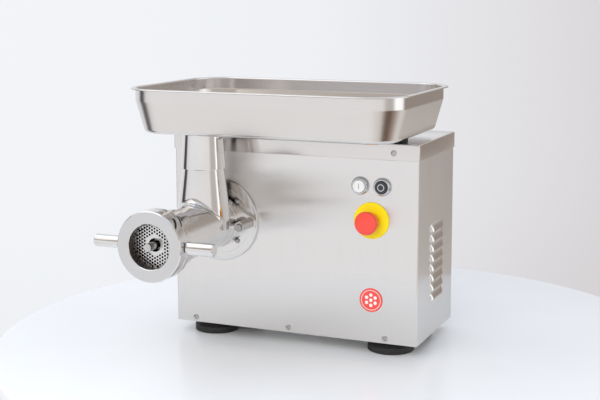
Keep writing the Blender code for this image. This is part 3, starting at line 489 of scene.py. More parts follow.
def turned_steel(name, colour=(0.62, 0.61, 0.60), rough=0.24):
    """Machined steel with tool lines round its axis and a trace of oil."""
    paint = finish(name)
    lines = paint.turning_lines(1500.0, 1500.0)
    oil = paint.noise(40.0, 3.0)
    tone = paint.mix(oil.step(0.45, 0.75), colour, [0.82 * c for c in colour])
    return paint.set(
        Base_Color=tone, Metallic=1.0, Roughness=rough + lines * 0.10 - oil.step(0.5, 0.8) * 0.06,
        Normal=paint.bump(lines, 0.00003, 0.7))


def cast_aluminium(name, colour=(0.50, 0.505, 0.51)):
    """Sand-cast case, grainy and dull, darker where grease has gathered."""
    paint = finish(name)
    grains = paint.noise(900.0, 3.0)
    grease = paint.noise(26.0, 4.0)
    tone = paint.mix(grease.step(0.50, 0.72), colour, [0.62 * c for c in colour])
    return paint.set(
        Base_Color=tone, Metallic=0.9, Roughness=0.42 + grains * 0.2, Normal=paint.bump(grains, 0.00018, 0.8))


def hammered_paint(name, colour=(0.075, 0.095, 0.115)):
    """Motor paint with a slight orange peel."""
    paint = finish(name)
    peel = paint.noise(420.0, 2.0)
    dust = paint.noise(30.0, 4.0)
    tone = paint.mix(dust.step(0.55, 0.85), colour, [c + 0.05 for c in colour])
    return paint.set(
        Base_Color=tone, Roughness=0.30 + dust * 0.25, Coat_Weight=0.15,
        Normal=paint.bump(peel, 0.00012, 0.7))


def stacked_laminations(name):
    """Thin steel sheets side by side along the motor's axis, with varnish between them."""
    paint = finish(name)
    along = paint.split(paint.place())[1]
    sheets = (along * 6000.0).then("SINE")
    varnish = paint.noise(60.0, 3.0)
    tone = paint.mix(sheets.step(-0.2, 0.9), (0.16, 0.085, 0.045), (0.42, 0.37, 0.33))
    return paint.set(
        Base_Color=tone, Metallic=0.7, Roughness=0.38 + varnish * 0.2,
        Normal=paint.bump(sheets, 0.00006, 0.8))


def rubber(name, colour=(0.017, 0.016, 0.016), rough=0.42):
    """Moulded rubber: very fine grain, dull where it has been handled."""
    paint = finish(name)
    grain = paint.noise(1500.0, 2.0)
    scuffs = paint.noise(60.0, 4.0)
    tone = paint.mix(scuffs.step(0.52, 0.80), colour, [c + 0.018 for c in colour])
    return paint.set(
        Base_Color=tone, Roughness=rough + scuffs * 0.18 + grain * 0.06,
        Normal=paint.bump(grain, 0.00010, 0.6))


def moulded_plastic(name, colour, rough=0.30, coat=0.0, grain_height=0.00005):
    """Injection-moulded plastic: even colour with faint clouding and a fine spark-eroded grain."""
    paint = finish(name)
    grain = paint.noise(1800.0, 2.0)
    cloud = paint.noise(45.0, 3.0)
    tone = paint.mix(cloud.step(0.30, 0.75), [0.93 * c for c in colour], colour)
    return paint.set(
        Base_Color=tone, Roughness=rough + cloud * 0.08 + grain * 0.05, Coat_Weight=coat,
        Normal=paint.bump(grain, grain_height, 0.6))


PANEL_STEEL = brushed_steel("panel_steel_upright_grain", UPRIGHT_GRAIN, STEEL, 0.205, 0.006, 1.0)
LID_STEEL = brushed_steel("lid_steel_satin", LEVEL_GRAIN, WARM_STEEL, 0.16, 0.006, 0.9, 0.25)
LOUVRE_STEEL = brushed_steel("louvre_steel_pressed", LEVEL_GRAIN, STEEL, 0.17, 0.004)
TRAY_STEEL = brushed_steel("tray_steel_satin", LEVEL_GRAIN, WARM_STEEL, 0.19, 0.006)
HEAD_CHROME = polished_steel("head_polished")
RING_CHROME = polished_steel("ring_polished_turned", rings=0.000004)
RING_SATIN = polished_steel("ring_face_satin", (0.680, 0.676, 0.680), 0.26, 0.000012, 0.5)
DISC_CHROME = polished_steel("flange_disc_polished", (0.720, 0.710, 0.700), 0.10, 0.000006, 0.4)
PLATE_CHROME = polished_steel("hole_plate_ground", (0.74, 0.735, 0.73), 0.20)
# Near-black steel for the walls of the plate's holes: painted shade that stands for the dark seen through the
# holes, not the colour of drilled steel.
HOLE_WALL_SHADE = turned_steel("hole_walls_painted_shade", (0.008, 0.007, 0.007), 0.70)
# Near-black steel for the head's bore, the ring's opening and the cross knife: painted shade for the shade
# inside the head, not the colour of machined steel.
BORE_SHADE = turned_steel("bore_painted_shade", (0.085, 0.072, 0.065), 0.28)
SHAFT_STEEL = turned_steel("auger_and_shafts")
SCREW_STEEL = turned_steel("screws", (0.52, 0.51, 0.50), 0.15)
GEAR_STEEL = turned_steel("gears_oiled", (0.36, 0.36, 0.37), 0.28)
CASE_METAL = cast_aluminium("gear_case_cast")
MOTOR_PAINT = hammered_paint("motor_paint")
STATOR_SHEETS = stacked_laminations("stator_laminations")
FOOT_RUBBER = rubber("foot_rubber")
COWL_PLASTIC = moulded_plastic("cowl_black_plastic", (0.020, 0.020, 0.022), 0.40)
WHITE_CAP = moulded_plastic("start_cap_white", (0.86, 0.87, 0.88), 0.28)
BLACK_CAP = moulded_plastic("stop_cap_black", (0.035, 0.040, 0.047), 0.35)
MARK_GREY = moulded_plastic("start_mark_grey", (0.30, 0.31, 0.33), 0.45)
MARK_WHITE = moulded_plastic("stop_mark_white", (0.62, 0.64, 0.66), 0.40)
BEZEL_METAL = polished_steel("bezel_satin_metal", (0.62, 0.64, 0.66), 0.17)
STOP_YELLOW = moulded_plastic("stop_disc_yellow", (1.0, 0.80, 0.001), 0.48)
STOP_RED = moulded_plastic("stop_mushroom_red", (0.90, 0.070, 0.045), 0.30, 0.25)
BADGE_RED = moulded_plastic("badge_red", (0.88, 0.080, 0.066), 0.34, 0.2)
BADGE_WHITE = moulded_plastic("badge_white", (0.90, 0.86, 0.85), 0.36)
SWITCH_GREY = moulded_plastic("switch_grey", (0.17, 0.175, 0.185), 0.45)
CAPACITOR_WHITE = moulded_plastic("capacitor_white", (0.78, 0.78, 0.76), 0.35)


def fit(piece, body, paint, slot, *nodes):
    """Give a piece its finish and its body, and hide the model's pieces that it stands for. Its slot is not
    used.
    """
    piece.data.materials.clear()
    piece.data.materials.append(paint)
    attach(piece, body)
    if nodes:
        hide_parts(*nodes)


def paint_faces(piece, paint, chosen):
    """Give one more finish to the faces that chosen(centre, normal) picks."""
    piece.data.materials.append(paint)
    for polygon in piece.data.polygons:
        if chosen(polygon.center, polygon.normal):
            polygon.material_index = len(piece.data.materials) - 1


# ---------------- housing
def bent_sheet_outline(radius, inside):
    """The U of the front and side panels seen from above, its outside and then its inside."""
    outer = [(LEFT, BACK), (LEFT, PANEL, radius), (RIGHT, PANEL, radius), (RIGHT, BACK)]
    inner = [
        (RIGHT - inside, BACK), (RIGHT - inside, PANEL + inside, radius - inside),
        (LEFT + inside, PANEL + inside, radius - inside), (LEFT + inside, BACK)]
    return [tuple(p) for p in rounded_line(outer, steps=6) + rounded_line(inner, steps=6)]


def louvre_hoods():
    """Louvres pressed out of the right panel: each is a sloping face with rounded ends, open below."""
    near, far = (PANEL + y for y in LOUVRE_Y)
    return [(UNDERSIDE + LOUVRE_FOOT + i * LOUVRE_PITCH, near, far) for i in range(LOUVRES)]


def louvre_hood(number, foot, near, far):
    """One hood, in upright columns that stand closer together at its rounded ends."""
    proud = high("housing_shell").x - RIGHT
    columns = []
    for i in range(29):
        share = i / 28
        y = near + (far - near) * (share - sin(4 * pi * share) / (4 * pi) * 0.35)
        into = min(y - near, far - y, LOUVRE_END) / LOUVRE_END
        swell = sqrt(max(0, 1 - (1 - into)**2))
        column = []
        for j in range(9):
            down = j / 8
            out = proud * swell * sin(down * pi / 2)**0.85
            drop = LOUVRE_H * down + 0.0012 * down * (1 - swell)
            column.append((RIGHT - 0.0004 + out, y, foot + LOUVRE_H - drop))
        columns.append(column)
    bm = bmesh.new()
    points = [[bm.verts.new(p) for p in column] for column in columns]
    for first, second in zip(points, points[1:]):
        for j in range(8):
            bm.faces.new((first[j], second[j], second[j + 1], first[j + 1]))
    bmesh.ops.remove_doubles(bm, verts=bm.verts, dist=0.00001)
    hood = finished(f"louvre_{number}", bm, 40)
    if hood.data.polygons[100].normal.x < 0:
        hood.data.flip_normals()
    return thickened(hood, LOUVRE_SHEET)


def housing_wrap():
    """Front and side panels in one folded sheet, with the holes for controls and head, and its louvres."""
    top = high("housing_shell").z
    shell = lofted(
        "housing_wrap",
        [[(x, y, z) for x, y in bent_sheet_outline(BEND, SHEET)] for z in (UNDERSIDE, top)])
    holes = [at(drill(CONTROL_HOLE_R, -0.01, 0.01, 40), on_panel(node), FRONT)
             for node in ("start_bezel", "stop_bezel", "estop_disc")]
    holes.append(at(drill(HEAD_HOLE_R, -0.01, 0.01), HEAD, FRONT))
    slots = [block("slot", (RIGHT - 0.004, near + 0.005, foot + 0.0005),
                   (RIGHT + 0.004, far - 0.005, foot + LOUVRE_SLOT)) for foot, near, far in louvre_hoods()]
    combined(shell, holes + slots, "DIFFERENCE")
    hoods = [louvre_hood(i + 1, *where) for i, where in enumerate(louvre_hoods())]
    wrap = gathered("housing_wrap", [shell] + hoods, 40)
    fit(wrap, "housing", PANEL_STEEL, "brushed_sheet", "housing_shell")
    paint_faces(wrap, LOUVRE_STEEL, lambda centre, normal: centre.x > RIGHT + GAP)


def lid_cover():
    """Lid with a turned-down rim: a box with no underside, folded with a small radius."""
    bottom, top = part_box("top_lid")
    levels = [(0.0010, bottom.z), (0.0005, bottom.z + 0.0001), (0.0001, bottom.z + 0.0005),
              (0, bottom.z + 0.0010)]
    for i in range(6):
        angle = radians(90) * i / 5
        levels.append((BEND * (1 - cos(angle)), top.z - BEND * (1 - sin(angle))))
    bm = bmesh.new()
    loops = [[bm.verts.new((x, y, z)) for x, y in rounded_corners(bottom, top, BEND, -inset)]
             for inset, z in levels]
    for lower, upper in zip(loops, loops[1:]):
        skin(bm, upper, lower)
    bm.faces.new(loops[-1])
    lid = thickened(finished("lid_cover", bm), SHEET)
    fit(lid, "housing", LID_STEEL, "brushed_sheet", "top_lid")


def rounded_corners(bottom, top, corner, grow, steps=5):
    """Plan of a rectangle with round corners, grown by an even margin."""
    radius = max(corner + grow, 0.0002)
    x0, x1 = bottom.x - grow, top.x + grow
    y0, y1 = bottom.y - grow, top.y + grow
    points = [(x1, y1, radius), (x0, y1, radius), (x0, y0, radius), (x1, y0, radius)]
    return [tuple(p) for p in rounded_line(points, True, steps)]


def rear_cover():
    """Flat back panel, with round-ended slots behind the motor's fan and a hole for the cable gland."""
    bottom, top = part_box("rear_panel")
    fan = middle("cooling_fan")
    outline = [(bottom.x, bottom.z), (top.x, bottom.z), (top.x, top.z), (bottom.x, top.z)]
    holes = []
    for i in range(REAR_SLOTS):
        z = fan.z + (i - (REAR_SLOTS - 1) / 2) * REAR_SLOT_PITCH
        half = sqrt(REAR_SLOT_R**2 - (z - fan.z)**2)
        corners = [(fan.x + side * half, z + rise * REAR_SLOT_HALF, REAR_SLOT_HALF * 0.98)
                   for side, rise in ((-1, -1), (1, -1), (1, 1), (-1, 1))]
        holes.append([tuple(p) for p in rounded_line(corners, True, 4)])
    gland = middle("cable_gland")
    holes.append(circle(GLAND_HOLE_R, 32, (gland.x, gland.z)))
    cover = plate("rear_cover", [outline] + holes, -top.y, -bottom.y, 0.0002)
    at(cover, (0, 0, 0), FRONT)
    weigh_normals(cover)
    fit(cover, "housing", PANEL_STEEL, "brushed_sheet", "rear_panel")


def panel_screw(name, place, turn):
    """Slotted pan-head screw, seen where the sheets are fixed."""
    head = turned(name, [
        (0, SCREW_H), (SCREW_R * 0.55, SCREW_H, 0.001), (SCREW_R, 0.0004, 0.0003), (SCREW_R, -0.0002),
        (0, -0.0002)], steps=36)
    slit = block("slit", (-0.0006, -0.01, SCREW_H * 0.45), (0.0006, 0.01, 0.01))
    slit.matrix_world = Matrix.Rotation(radians(35), 4, "Z")
    combined(head, [slit], "DIFFERENCE")
    at(head, place, turn)
    fit(head, "housing", SCREW_STEEL, "fastener_steel")


def panel_screws():
    """Screws along the foot of the front panel, in the lid's rim, and down both sides of the back."""
    low_row = UNDERSIDE + 0.0080
    for i, x in enumerate((LEFT + 0.0365, (LEFT + RIGHT) / 2 - 0.007, RIGHT - 0.054)):
        panel_screw(f"front_screw_{i + 1}", (x, PANEL, low_row), FRONT)
    lid_row = (LID_EDGE + LID_TOP) / 2 - 0.0015
    for i, x in enumerate((LEFT + 0.041, RIGHT - 0.041)):
        panel_screw(f"lid_screw_front_{i + 1}", (x, low("top_lid").y, lid_row), FRONT)
        panel_screw(f"lid_screw_rear_{i + 1}", (x, high("top_lid").y, lid_row), BEHIND)
    rows = (UNDERSIDE + 0.012, (UNDERSIDE + LID_EDGE) / 2, LID_EDGE - 0.012)
    back = high("rear_panel").y
    for i, z in enumerate(rows):
        for word, x in (("left", LEFT + 0.010), ("right", RIGHT - 0.010)):
            panel_screw(f"rear_screw_{word}_{i + 1}", (x, back, z), BEHIND)


def cable_gland():
    """Nylon gland: a hexagon against the panel and a domed cap with a closed mouth."""
    front = BACK + GAP
    long = high("cable_gland").y - front
    cap = turned("gland_cap", [
        (0, long - 0.002), (0.0032, long - 0.002), (0.0042, long, 0.0006), (0.0060, long - 0.0004, 0.001),
        (0.0098, 0.0085, 0.002), (0.0098, 0.0050), (0, 0.0050)])
    hexagon = plate("gland_hexagon", [circle(half_width("cable_gland"), 6)], 0, 0.0052, 0.0005)
    shank = turned("gland_shank", [(0.0074, 0.0002), (0.0074, -0.012, 0.0005), (0, -0.012)])
    for part in (cap, hexagon, shank):
        at(part, (middle("cable_gland").x, front, middle("cable_gland").z), BEHIND)
    gland = gathered("cable_gland_detailed", [cap, hexagon, shank])
    fit(gland, "housing", COWL_PLASTIC, "black_plastic", "cable_gland")


def rubber_foot(node):
    """Screwed-on rubber foot: a dish with a straight rim, a small lip and a recessed washer below."""
    radius = half_width(node)
    height = UNDERSIDE - low(node).z
    foot = turned(f"{node}_moulded", [
        (0, height - GAP), (0.026, height - GAP, 0.002), (radius - 0.0022, 0.0115, 0.003),
        (radius - 0.0004, 0.0108, 0.0008), (radius, 0.0088, 0.0006), (radius, 0.0012, 0.0009),
        (radius - 0.0012, 0), (0.016, 0, 0.0008), (0.0150, 0.004, 0.001), (0, 0.004)])
    at(foot, (middle(node).x, middle(node).y, low(node).z))
    fit(foot, "housing", FOOT_RUBBER, "black_rubber", node)


def lid_bumper(node):
    """Rubber pad on the lid that the tray rests on."""
    radius = half_width(node)
    height = high(node).z - low(node).z
    pad = turned(f"{node}_moulded", [
        (0, height), (radius - 0.0025, height, 0.001), (radius, height - 0.0035, 0.0015), (radius, 0, 0),
        (0, 0)], steps=48)
    at(pad, (middle(node).x, middle(node).y, low(node).z))
    fit(pad, "housing", FOOT_RUBBER, "black_rubber", node)


# ---------------- head mounting
def flange_disc():
    """Polished round plate on the front panel, with a rounded rim and a shallow turned step."""
    radius = half_width("flange_disc")
    front, back = ends("flange_disc")
    disc = turned("flange_disc_turned", [
        (0.020, front), (0.0555, front, 0.0003), (0.0558, front - 0.0004, 0.0003),
        (radius, front - 0.0004, 0.0016), (radius, back), (0.020, back)], ring=True, steps=160)
    holes = [at(drill(STUD_HOLE_R + 0.0001, -0.02, 0.02, 32), on_panel(stud), FRONT) for stud in STUDS]
    at(disc, HEAD, FRONT)
    combined(disc, holes, "DIFFERENCE")
    fit(disc, "housing", DISC_CHROME, "polished_steel", "flange_disc")


def flange_screw(node):
    """Button-head screw with a hexagon socket."""
    radius = half_width(node)
    front, back = ends(node)
    disc_front = reach(low("flange_disc").y) + GAP
    screw = turned(f"{node}_turned", [
        (0, front), (radius * 0.60, front, 0.0012), (radius, disc_front + 0.0014, 0.0008),
        (radius, disc_front), (0.0028, disc_front), (0.0028, back), (0, back)], steps=40)
    socket = plate("socket", [circle(0.0019, 6)], front - 0.0022, front + 0.01, 0.0001)
    combined(screw, [socket], "DIFFERENCE")
    at(screw, on_panel(node), FRONT)
    fit(screw, "housing", SCREW_STEEL, "fastener_steel", node)


def head_nut(node):
    """Long hexagon nut with both ends chamfered to a circle."""
    corner = (high(node).z - low(node).z) / 2
    flat = corner * cos(radians(30))
    front, back = ends(node)
    outlines = [circle(corner, 6, start=radians(30)), circle(STUD_HOLE_R, 32)]
    nut = plate(f"{node}_turned", outlines, back, front, 0.0002)
    chamfer = turned("chamfer", [
        (0, front + 0.001), (flat - 0.0004, front + 0.001), (flat - 0.0002, front),
        (corner + 0.001, front - 0.0014), (corner + 0.001, back + 0.0014), (flat - 0.0002, back), (0, back)])
    combined(nut, [chamfer], "INTERSECT")
    at(nut, on_panel(node), FRONT)
    fit(nut, "housing", SCREW_STEEL, "fastener_steel", node)


def head_stud(node):
    """Clamp stud, its end chamfered and centre-drilled."""
    radius = half_width(node)
    front, back = ends(node)
    stud = turned(f"{node}_turned", [
        (0, front - 0.0006), (0.0016, front - 0.0006), (0.0020, front, 0.0002),
        (radius - 0.0009, front, 0.0003), (radius, front - 0.0012, 0.0003), (radius, back), (0, back)],
        steps=40)
    at(stud, on_panel(node), FRONT)
    fit(stud, "housing", SCREW_STEEL, "fastener_steel", node)


# ---------------- grinding head
def throat_radius(height):
    """The tapered throat's radius at a height above the head's axis."""
    (waist, waist_height), (top, top_height) = THROAT_WAIST, THROAT_TOP
    return waist + (top - waist) * (height - waist_height) / (top_height - waist_height)


def throat_column(angle):
    """One upright line of the throat's skin, ending in a fillet that runs out onto the barrel."""
    forward = max(0.0, -sin(angle))
    fillet = THROAT_REAR_FILLET + (THROAT_FRONT_FILLET - THROAT_REAR_FILLET) * forward**1.5
    across = abs(cos(angle))
    side = min(throat_radius(0.045) * across, BARREL_R - 0.0006)
    meet = sqrt(BARREL_R**2 - side**2)
    slope = atan(side / meet * across)
    sweep = radians(90) - slope
    start = meet + fillet * sin(sweep) - fillet * (1 - cos(sweep)) * tan(slope)
    column = [(throat_radius(h), h) for h in (THROAT_TOP[1], start + (THROAT_TOP[1] - start) * 0.5)]
    for i in range(11):
        along = sweep * i / 10
        height = start - fillet * sin(along)
        column.append((throat_radius(start) + fillet * (1 - cos(along)), height))
    spread, height = column[-1]
    barrel_top = sqrt(max(0, BARREL_R**2 - (spread * across)**2))
    column.append((spread, min(height, barrel_top) - 0.003))
    column.append((min(spread, 0.030), 0.0))
    return [(r * cos(angle), r * sin(angle), h) for r, h in column]


def throat_casting():
    """The throat's skin, from its mouth down into the barrel."""
    columns = [throat_column(2 * pi * i / 96) for i in range(96)]
    rings = [[column[row] for column in columns] for row in range(len(columns[0]))]
    return at(lofted("throat_casting", rings), THROAT)


def flange_ears():
    """Rhombic flange of the head: a belt round the barrel and the two studs."""
    offset = (middle("head_stud_right").x - middle("head_stud_left").x) / 2
    belt = BARREL_R - 0.0025
    lean = asin((belt - EAR_TIP) / offset)
    outline = []
    for side in (1, -1):
        for share in range(9):
            a = (share / 8 - 0.5) * (pi - 2 * lean)
            outline.append((side * (offset + EAR_TIP * cos(a)), side * EAR_TIP * sin(a)))
        for share in range(1, 8):
            a = pi / 2 - lean + 2 * lean * share / 8
            outline.append((side * belt * cos(a), side * belt * sin(a)))
    back = reach(low("flange_disc").y) + GAP
    return at(plate("flange_ears", [outline], back, back + EAR_THICK, 0.0008), HEAD, FRONT)


def grinding_head():
    """Barrel, throat and flange in one casting, bored for the feed screw, the plate and the studs."""
    mouth = reach(low("grinding_head").y)
    head_back = reach(low("flange_disc").y) + GAP
    collar = head_back + COLLAR_LENGTH
    barrel = at(turned("head_casting", [
        (0, mouth), (THREAD_R, mouth, 0.0008), (THREAD_R, mouth - THREAD_LENGTH),
        (MOUTH_R, mouth - THREAD_LENGTH - 0.0005, 0.0003), (MOUTH_R, MOUTH_FULL, 0.002),
        (BARREL_R, MOUTH_START, 0.003), (BARREL_R, collar, 0.0006),
        (COLLAR_R, collar - 0.001, 0.0006), (COLLAR_R, head_back + 0.007), (0, head_back + 0.007)],
        steps=128), HEAD, FRONT)
    combined(barrel, [throat_casting(), flange_ears()], "UNION")
    seat = reach(high("hole_plate").y) - GAP
    seat_r, inner, seal = 0.0413, 0.036, 0.018
    bore = at(turned("bore", [
        (0, mouth + 0.01), (seat_r, mouth + 0.01), (seat_r, seat), (inner, seat), (inner, 0.024),
        (seal, 0.024), (seal, -0.01), (0, -0.01)], steps=128), HEAD, FRONT)
    funnel = at(turned("funnel", [
        (0, 0.16), (0.0285, 0.16), (0.0285, 0.1345, 0.001), (0.0262, 0.131, 0.002), (0.026, 0.004),
        (0, 0.004)], steps=96), THROAT)
    holes = [at(drill(STUD_HOLE_R, -0.01, 0.03, 32), on_panel(stud), FRONT) for stud in STUDS]
    combined(barrel, [bore, funnel] + holes, "DIFFERENCE")
    weigh_normals(barrel)
    fit(barrel, "housing", HEAD_CHROME, "polished_steel", "grinding_head")

    def in_the_bore(centre, normal):
        inward = normal.x * centre.x + normal.y * centre.y < 0
        return hypot(centre.x, centre.y) < seat_r + 0.0003 and centre.z < mouth and inward

    # Painted shade: the bore's inner faces get the near-black bore finish.
    paint_faces(barrel, BORE_SHADE, in_the_bore)


def weigh_normals(piece):
    """Let large faces set the shading where a cut has left long thin ones."""
    even = piece.modifiers.new("even shading", "WEIGHTED_NORMAL")
    even.keep_sharp = True
    even.weight = 80


# ---------------- cutting set and ring nut
def hole_places(furthest):
    """Hexagonal grid with upright columns, without the solid hexagon in the middle."""
    column = HOLE_PITCH * sqrt(3) / 2
    count = int(furthest / column) + 1
    places = []
    for i in range(-count, count + 1):
        for j in range(-count, count + 1):
            x, y = i * column, (j + (i % 2) / 2) * HOLE_PITCH
            flat = max(abs(x), abs(x / 2 + y * sqrt(3) / 2), abs(x / 2 - y * sqrt(3) / 2))
            if hypot(x, y) < furthest and flat > SOLID_HEX * sqrt(3) / 2:
                places.append((x, y))
    return places


def hole_plate():
    """Drilled plate with a notch for its key at the bottom."""
    front, back = ends("hole_plate")
    radius = half_width("hole_plate")
    half = asin(KEY_NOTCH / radius)
    arc = [-pi / 2 + half + (2 * pi - 2 * half) * i / 120 for i in range(121)]
    floor = -radius * cos(half) + 2 * KEY_NOTCH
    outline = [(radius * cos(a), radius * sin(a)) for a in arc]
    outline += [(-KEY_NOTCH, floor), (KEY_NOTCH, floor)]
    holes = [circle(HOLE_R, 16, place) for place in hole_places(radius - PLATE_RIM)]
    ground = plate("hole_plate_drilled", [outline, circle(PLATE_BORE_R, 64)] + holes, back, front, 0.0002)
    at(ground, HEAD, FRONT)
    fit(ground, "plate", PLATE_CHROME, "polished_steel", "hole_plate")
    # Painted shade: the walls of the holes get the near-black hole-wall finish.
    paint_faces(ground, HOLE_WALL_SHADE, lambda centre, normal: (
        abs(normal.z) < 0.5 and hypot(centre.x, centre.y) < radius - 0.004))


def ring_nut():
    """Ring nut: satin face, polished side with a groove at mid-length, and a rounded rear edge."""
    face, back = ends("ring_nut")
    radius = half_width("ring_nut")
    centre = reach(middle("ring_handle_right").y)
    plate_face = reach(low("hole_plate").y)
    groove, bore = radius - 0.0013, THREAD_R + 0.0004
    ring = turned("ring_nut_turned", [
        (RING_OPENING + 0.0008, face), (radius - 0.0016, face, 0.0004), (radius, face - 0.0016, 0.0006),
        (radius, centre - 0.0005, 0.0003), (groove, centre - 0.0008, 0.0002),
        (groove, centre - 0.0026, 0.0002), (radius, centre - 0.0030, 0.0003),
        (radius, back + 0.0035, 0.0035), (radius - 0.0035, back, 0.0014), (bore, back),
        (bore, plate_face + GAP), (RING_OPENING, plate_face + GAP), (RING_OPENING, face - 0.0008)],
        ring=True, steps=160, sharp=25)
    at(ring, HEAD, FRONT)
    place = (HEAD.x, middle("ring_handle_right").y, HEAD.z)
    holes = [at(drill(0.0053, 0.050, 0.065, 32), place, sideways(side)) for side in (1, -1)]
    combined(ring, holes, "DIFFERENCE")
    fit(ring, "ring", RING_CHROME, "polished_steel", "ring_nut")
    paint_faces(ring, RING_SATIN, lambda centre, normal: normal.z > 0.98 and centre.z > face - 0.001)
    # Painted shade: the faces round the ring's opening get the near-black bore finish.
    paint_faces(ring, BORE_SHADE, lambda centre, normal: hypot(*centre.xy) < RING_OPENING + 0.0002)


def ring_handle(node, side):
    """Round bar handle with softly chamfered ends and a narrow neck where it meets the ring."""
    tip = high(node).x - HEAD.x if side > 0 else HEAD.x - low(node).x
    root = half_width("ring_nut") + GAP
    radius = (high(node).z - low(node).z) / 2
    bar = turned(f"{node}_turned", [
        (0, tip), (radius - 0.0014, tip, 0.0007), (radius, tip - 0.0014, 0.0008),
        (radius, root + 0.0024, 0.0010), (radius - 0.0022, root + 0.0002, 0.0004), (0.0050, root),
        (0.0050, 0.0474), (0, 0.0474)], steps=72)
    at(bar, (HEAD.x, middle(node).y, HEAD.z), sideways(side))
    fit(bar, "ring", RING_CHROME, "polished_steel", node)


def feed_auger():
    """Feed screw: helical flight on a tapered core, a hexagon for the knife and a stud through the plate."""
    front = reach(high("cross_knife").y) - GAP
    end = reach(low("auger").y)
    start = 0.025
    stud, core_r, flight_r = 0.0064, 0.0170, 0.034
    core = turned("auger_core", [
        (0, end - 0.0005), (0.0010, end - 0.0005), (0.0013, end, 0.0001), (stud, end, 0.0009), (stud, front),
        (0.0110, front, 0.0006), (0.0130, front - 0.02, 0.004), (core_r, start + 0.01, 0.004),
        (core_r, start, 0.0008), (0, start)], steps=56)
    first = start + 0.006
    travel = front - 0.002 - FLIGHT_THICK - first
    count = int(travel / FLIGHT_PITCH * FLIGHT_STEPS)
    corners = ((0.0095, 0), (flight_r - 0.0005, 0.22), (flight_r, 0.35), (flight_r, 0.65),
               (flight_r - 0.0005, 0.78), (0.0095, 1))
    rings = []
    for i in range(count + 1):
        a, z = 2 * pi * i / FLIGHT_STEPS, first + travel * i / count
        rings.append([(r * cos(a), r * sin(a), z + h * FLIGHT_THICK) for r, h in corners])
    flight = lofted("auger_flight", rings, sharp=40)
    seat = reach(high("hole_plate").y) - GAP
    hexagon = plate("auger_hexagon", [circle(0.0095, 6)], front - 0.002, seat, 0.0003)
    tang = plate("auger_tang", [circle(0.010, 6)], reach(high("auger").y), start + 0.002, 0.0004)
    combined(core, [flight, hexagon, tang], "UNION")
    at(core, HEAD, FRONT)
    fit(core, "feed_screw", SHAFT_STEEL, "machined_steel", "auger")


# ---------------- controls
def push_button(word, cap_paint, mark_paint, slot_name):
    """Metal bezel and a moulded cap that slides in it, with the usual mark on its face."""
    holder, button = f"{word}_bezel", f"{word}_button"
    rim, cap_r = half_width(holder), half_width(button)
    place = on_panel(button)
    front, tail = ends(holder)
    face, back = ends(button)
    bore, stem, neck = cap_r + GAP, 0.0063, 0.0109
    bezel = turned(f"{word}_bezel_turned", [
        (bore, front - 0.0004), (bore + 0.0005, front, 0.0003), (rim - 0.0022, front, 0.0010),
        (rim - 0.0006, front - 0.0026, 0.0012), (rim, 0.0012, 0.0008), (rim, GAP), (neck, GAP), (neck, tail),
        (stem, tail), (stem, 0.0011), (bore, 0.0011)], ring=True, steps=72)
    fit(at(bezel, place, FRONT), "housing", BEZEL_METAL, "bezel_metal", holder)
    cap = turned(f"{word}_cap_moulded", [
        (0, face - 0.0004), (cap_r * 0.72, face - 0.0004, 0.002), (cap_r - 0.0012, face, 0.0009),
        (cap_r, face - 0.0014, 0.0008), (cap_r, 0.0054, 0.0003), (0.006, 0.0054), (0.006, back), (0, back)],
        steps=72)
    fit(at(cap, place, FRONT), f"{word}_push", cap_paint, slot_name, button)
    mark_front, mark_back = face - 0.00025, face - 0.001
    if word == "start":
        bar = [(-0.0006, -0.0045, 0.0005), (0.0006, -0.0045, 0.0005), (0.0006, 0.0045, 0.0005),
               (-0.0006, 0.0045, 0.0005)]
        outline = [tuple(p) for p in rounded_line(bar, True, 3)]
        mark = plate("start_mark", [outline], mark_back, mark_front, 0.0001)
    else:
        mark = turned("stop_mark", [
            (0.0046, mark_front, 0.0001), (0.0058, mark_front, 0.0001), (0.0058, mark_back),
            (0.0046, mark_back)], ring=True, steps=64)
    fit(at(mark, place, FRONT), f"{word}_push", mark_paint, slot_name)


def emergency_stop():
    """Yellow disc, grey stem and a red mushroom head, broadest just behind its rounded face."""
    place = on_panel("estop_disc")
    disc_r, bore = half_width("estop_disc"), 0.0116
    top = reach(low("estop_disc").y)
    disc = turned("estop_disc_moulded", [
        (bore, top), (disc_r - 0.0012, top, 0.0009), (disc_r, top - 0.0014, 0.0006), (disc_r, GAP),
        (bore, GAP)], ring=True, steps=96)
    fit(at(disc, place, FRONT), "housing", STOP_YELLOW, "signal_yellow", "estop_disc")
    stem_front, stem_back = ends("estop_stem")
    stem = turned("estop_stem_moulded", [
        (0, stem_front), (0.008, stem_front, 0.0006), (0.008, 0.007, 0.0004), (0.0105, 0.007, 0.0006),
        (0.0105, stem_back), (0, stem_back)], steps=64)
    fit(at(stem, place, FRONT), "estop_plunger", SWITCH_GREY, "switch_grey", "estop_stem")
    proud, back = ends("estop_mushroom")
    head_r, socket = half_width("estop_mushroom"), 0.0083
    mushroom = turned("estop_mushroom_moulded", [
        (0, proud), (head_r * 0.45, proud - 0.0003, 0.010), (head_r - 0.0012, proud - 0.0022, 0.0026),
        (head_r, proud - 0.0062, 0.006), (head_r - 0.0014, proud - 0.0140, 0.010),
        (0.0158, back + 0.0016, 0.0012), (0.0146, back + 0.0002, 0.0008), (socket, back),
        (socket, stem_front + GAP), (0, stem_front + GAP)], steps=96, sharp=40)
    fit(at(mushroom, place, FRONT), "estop_head", STOP_RED, "signal_red", "estop_mushroom")


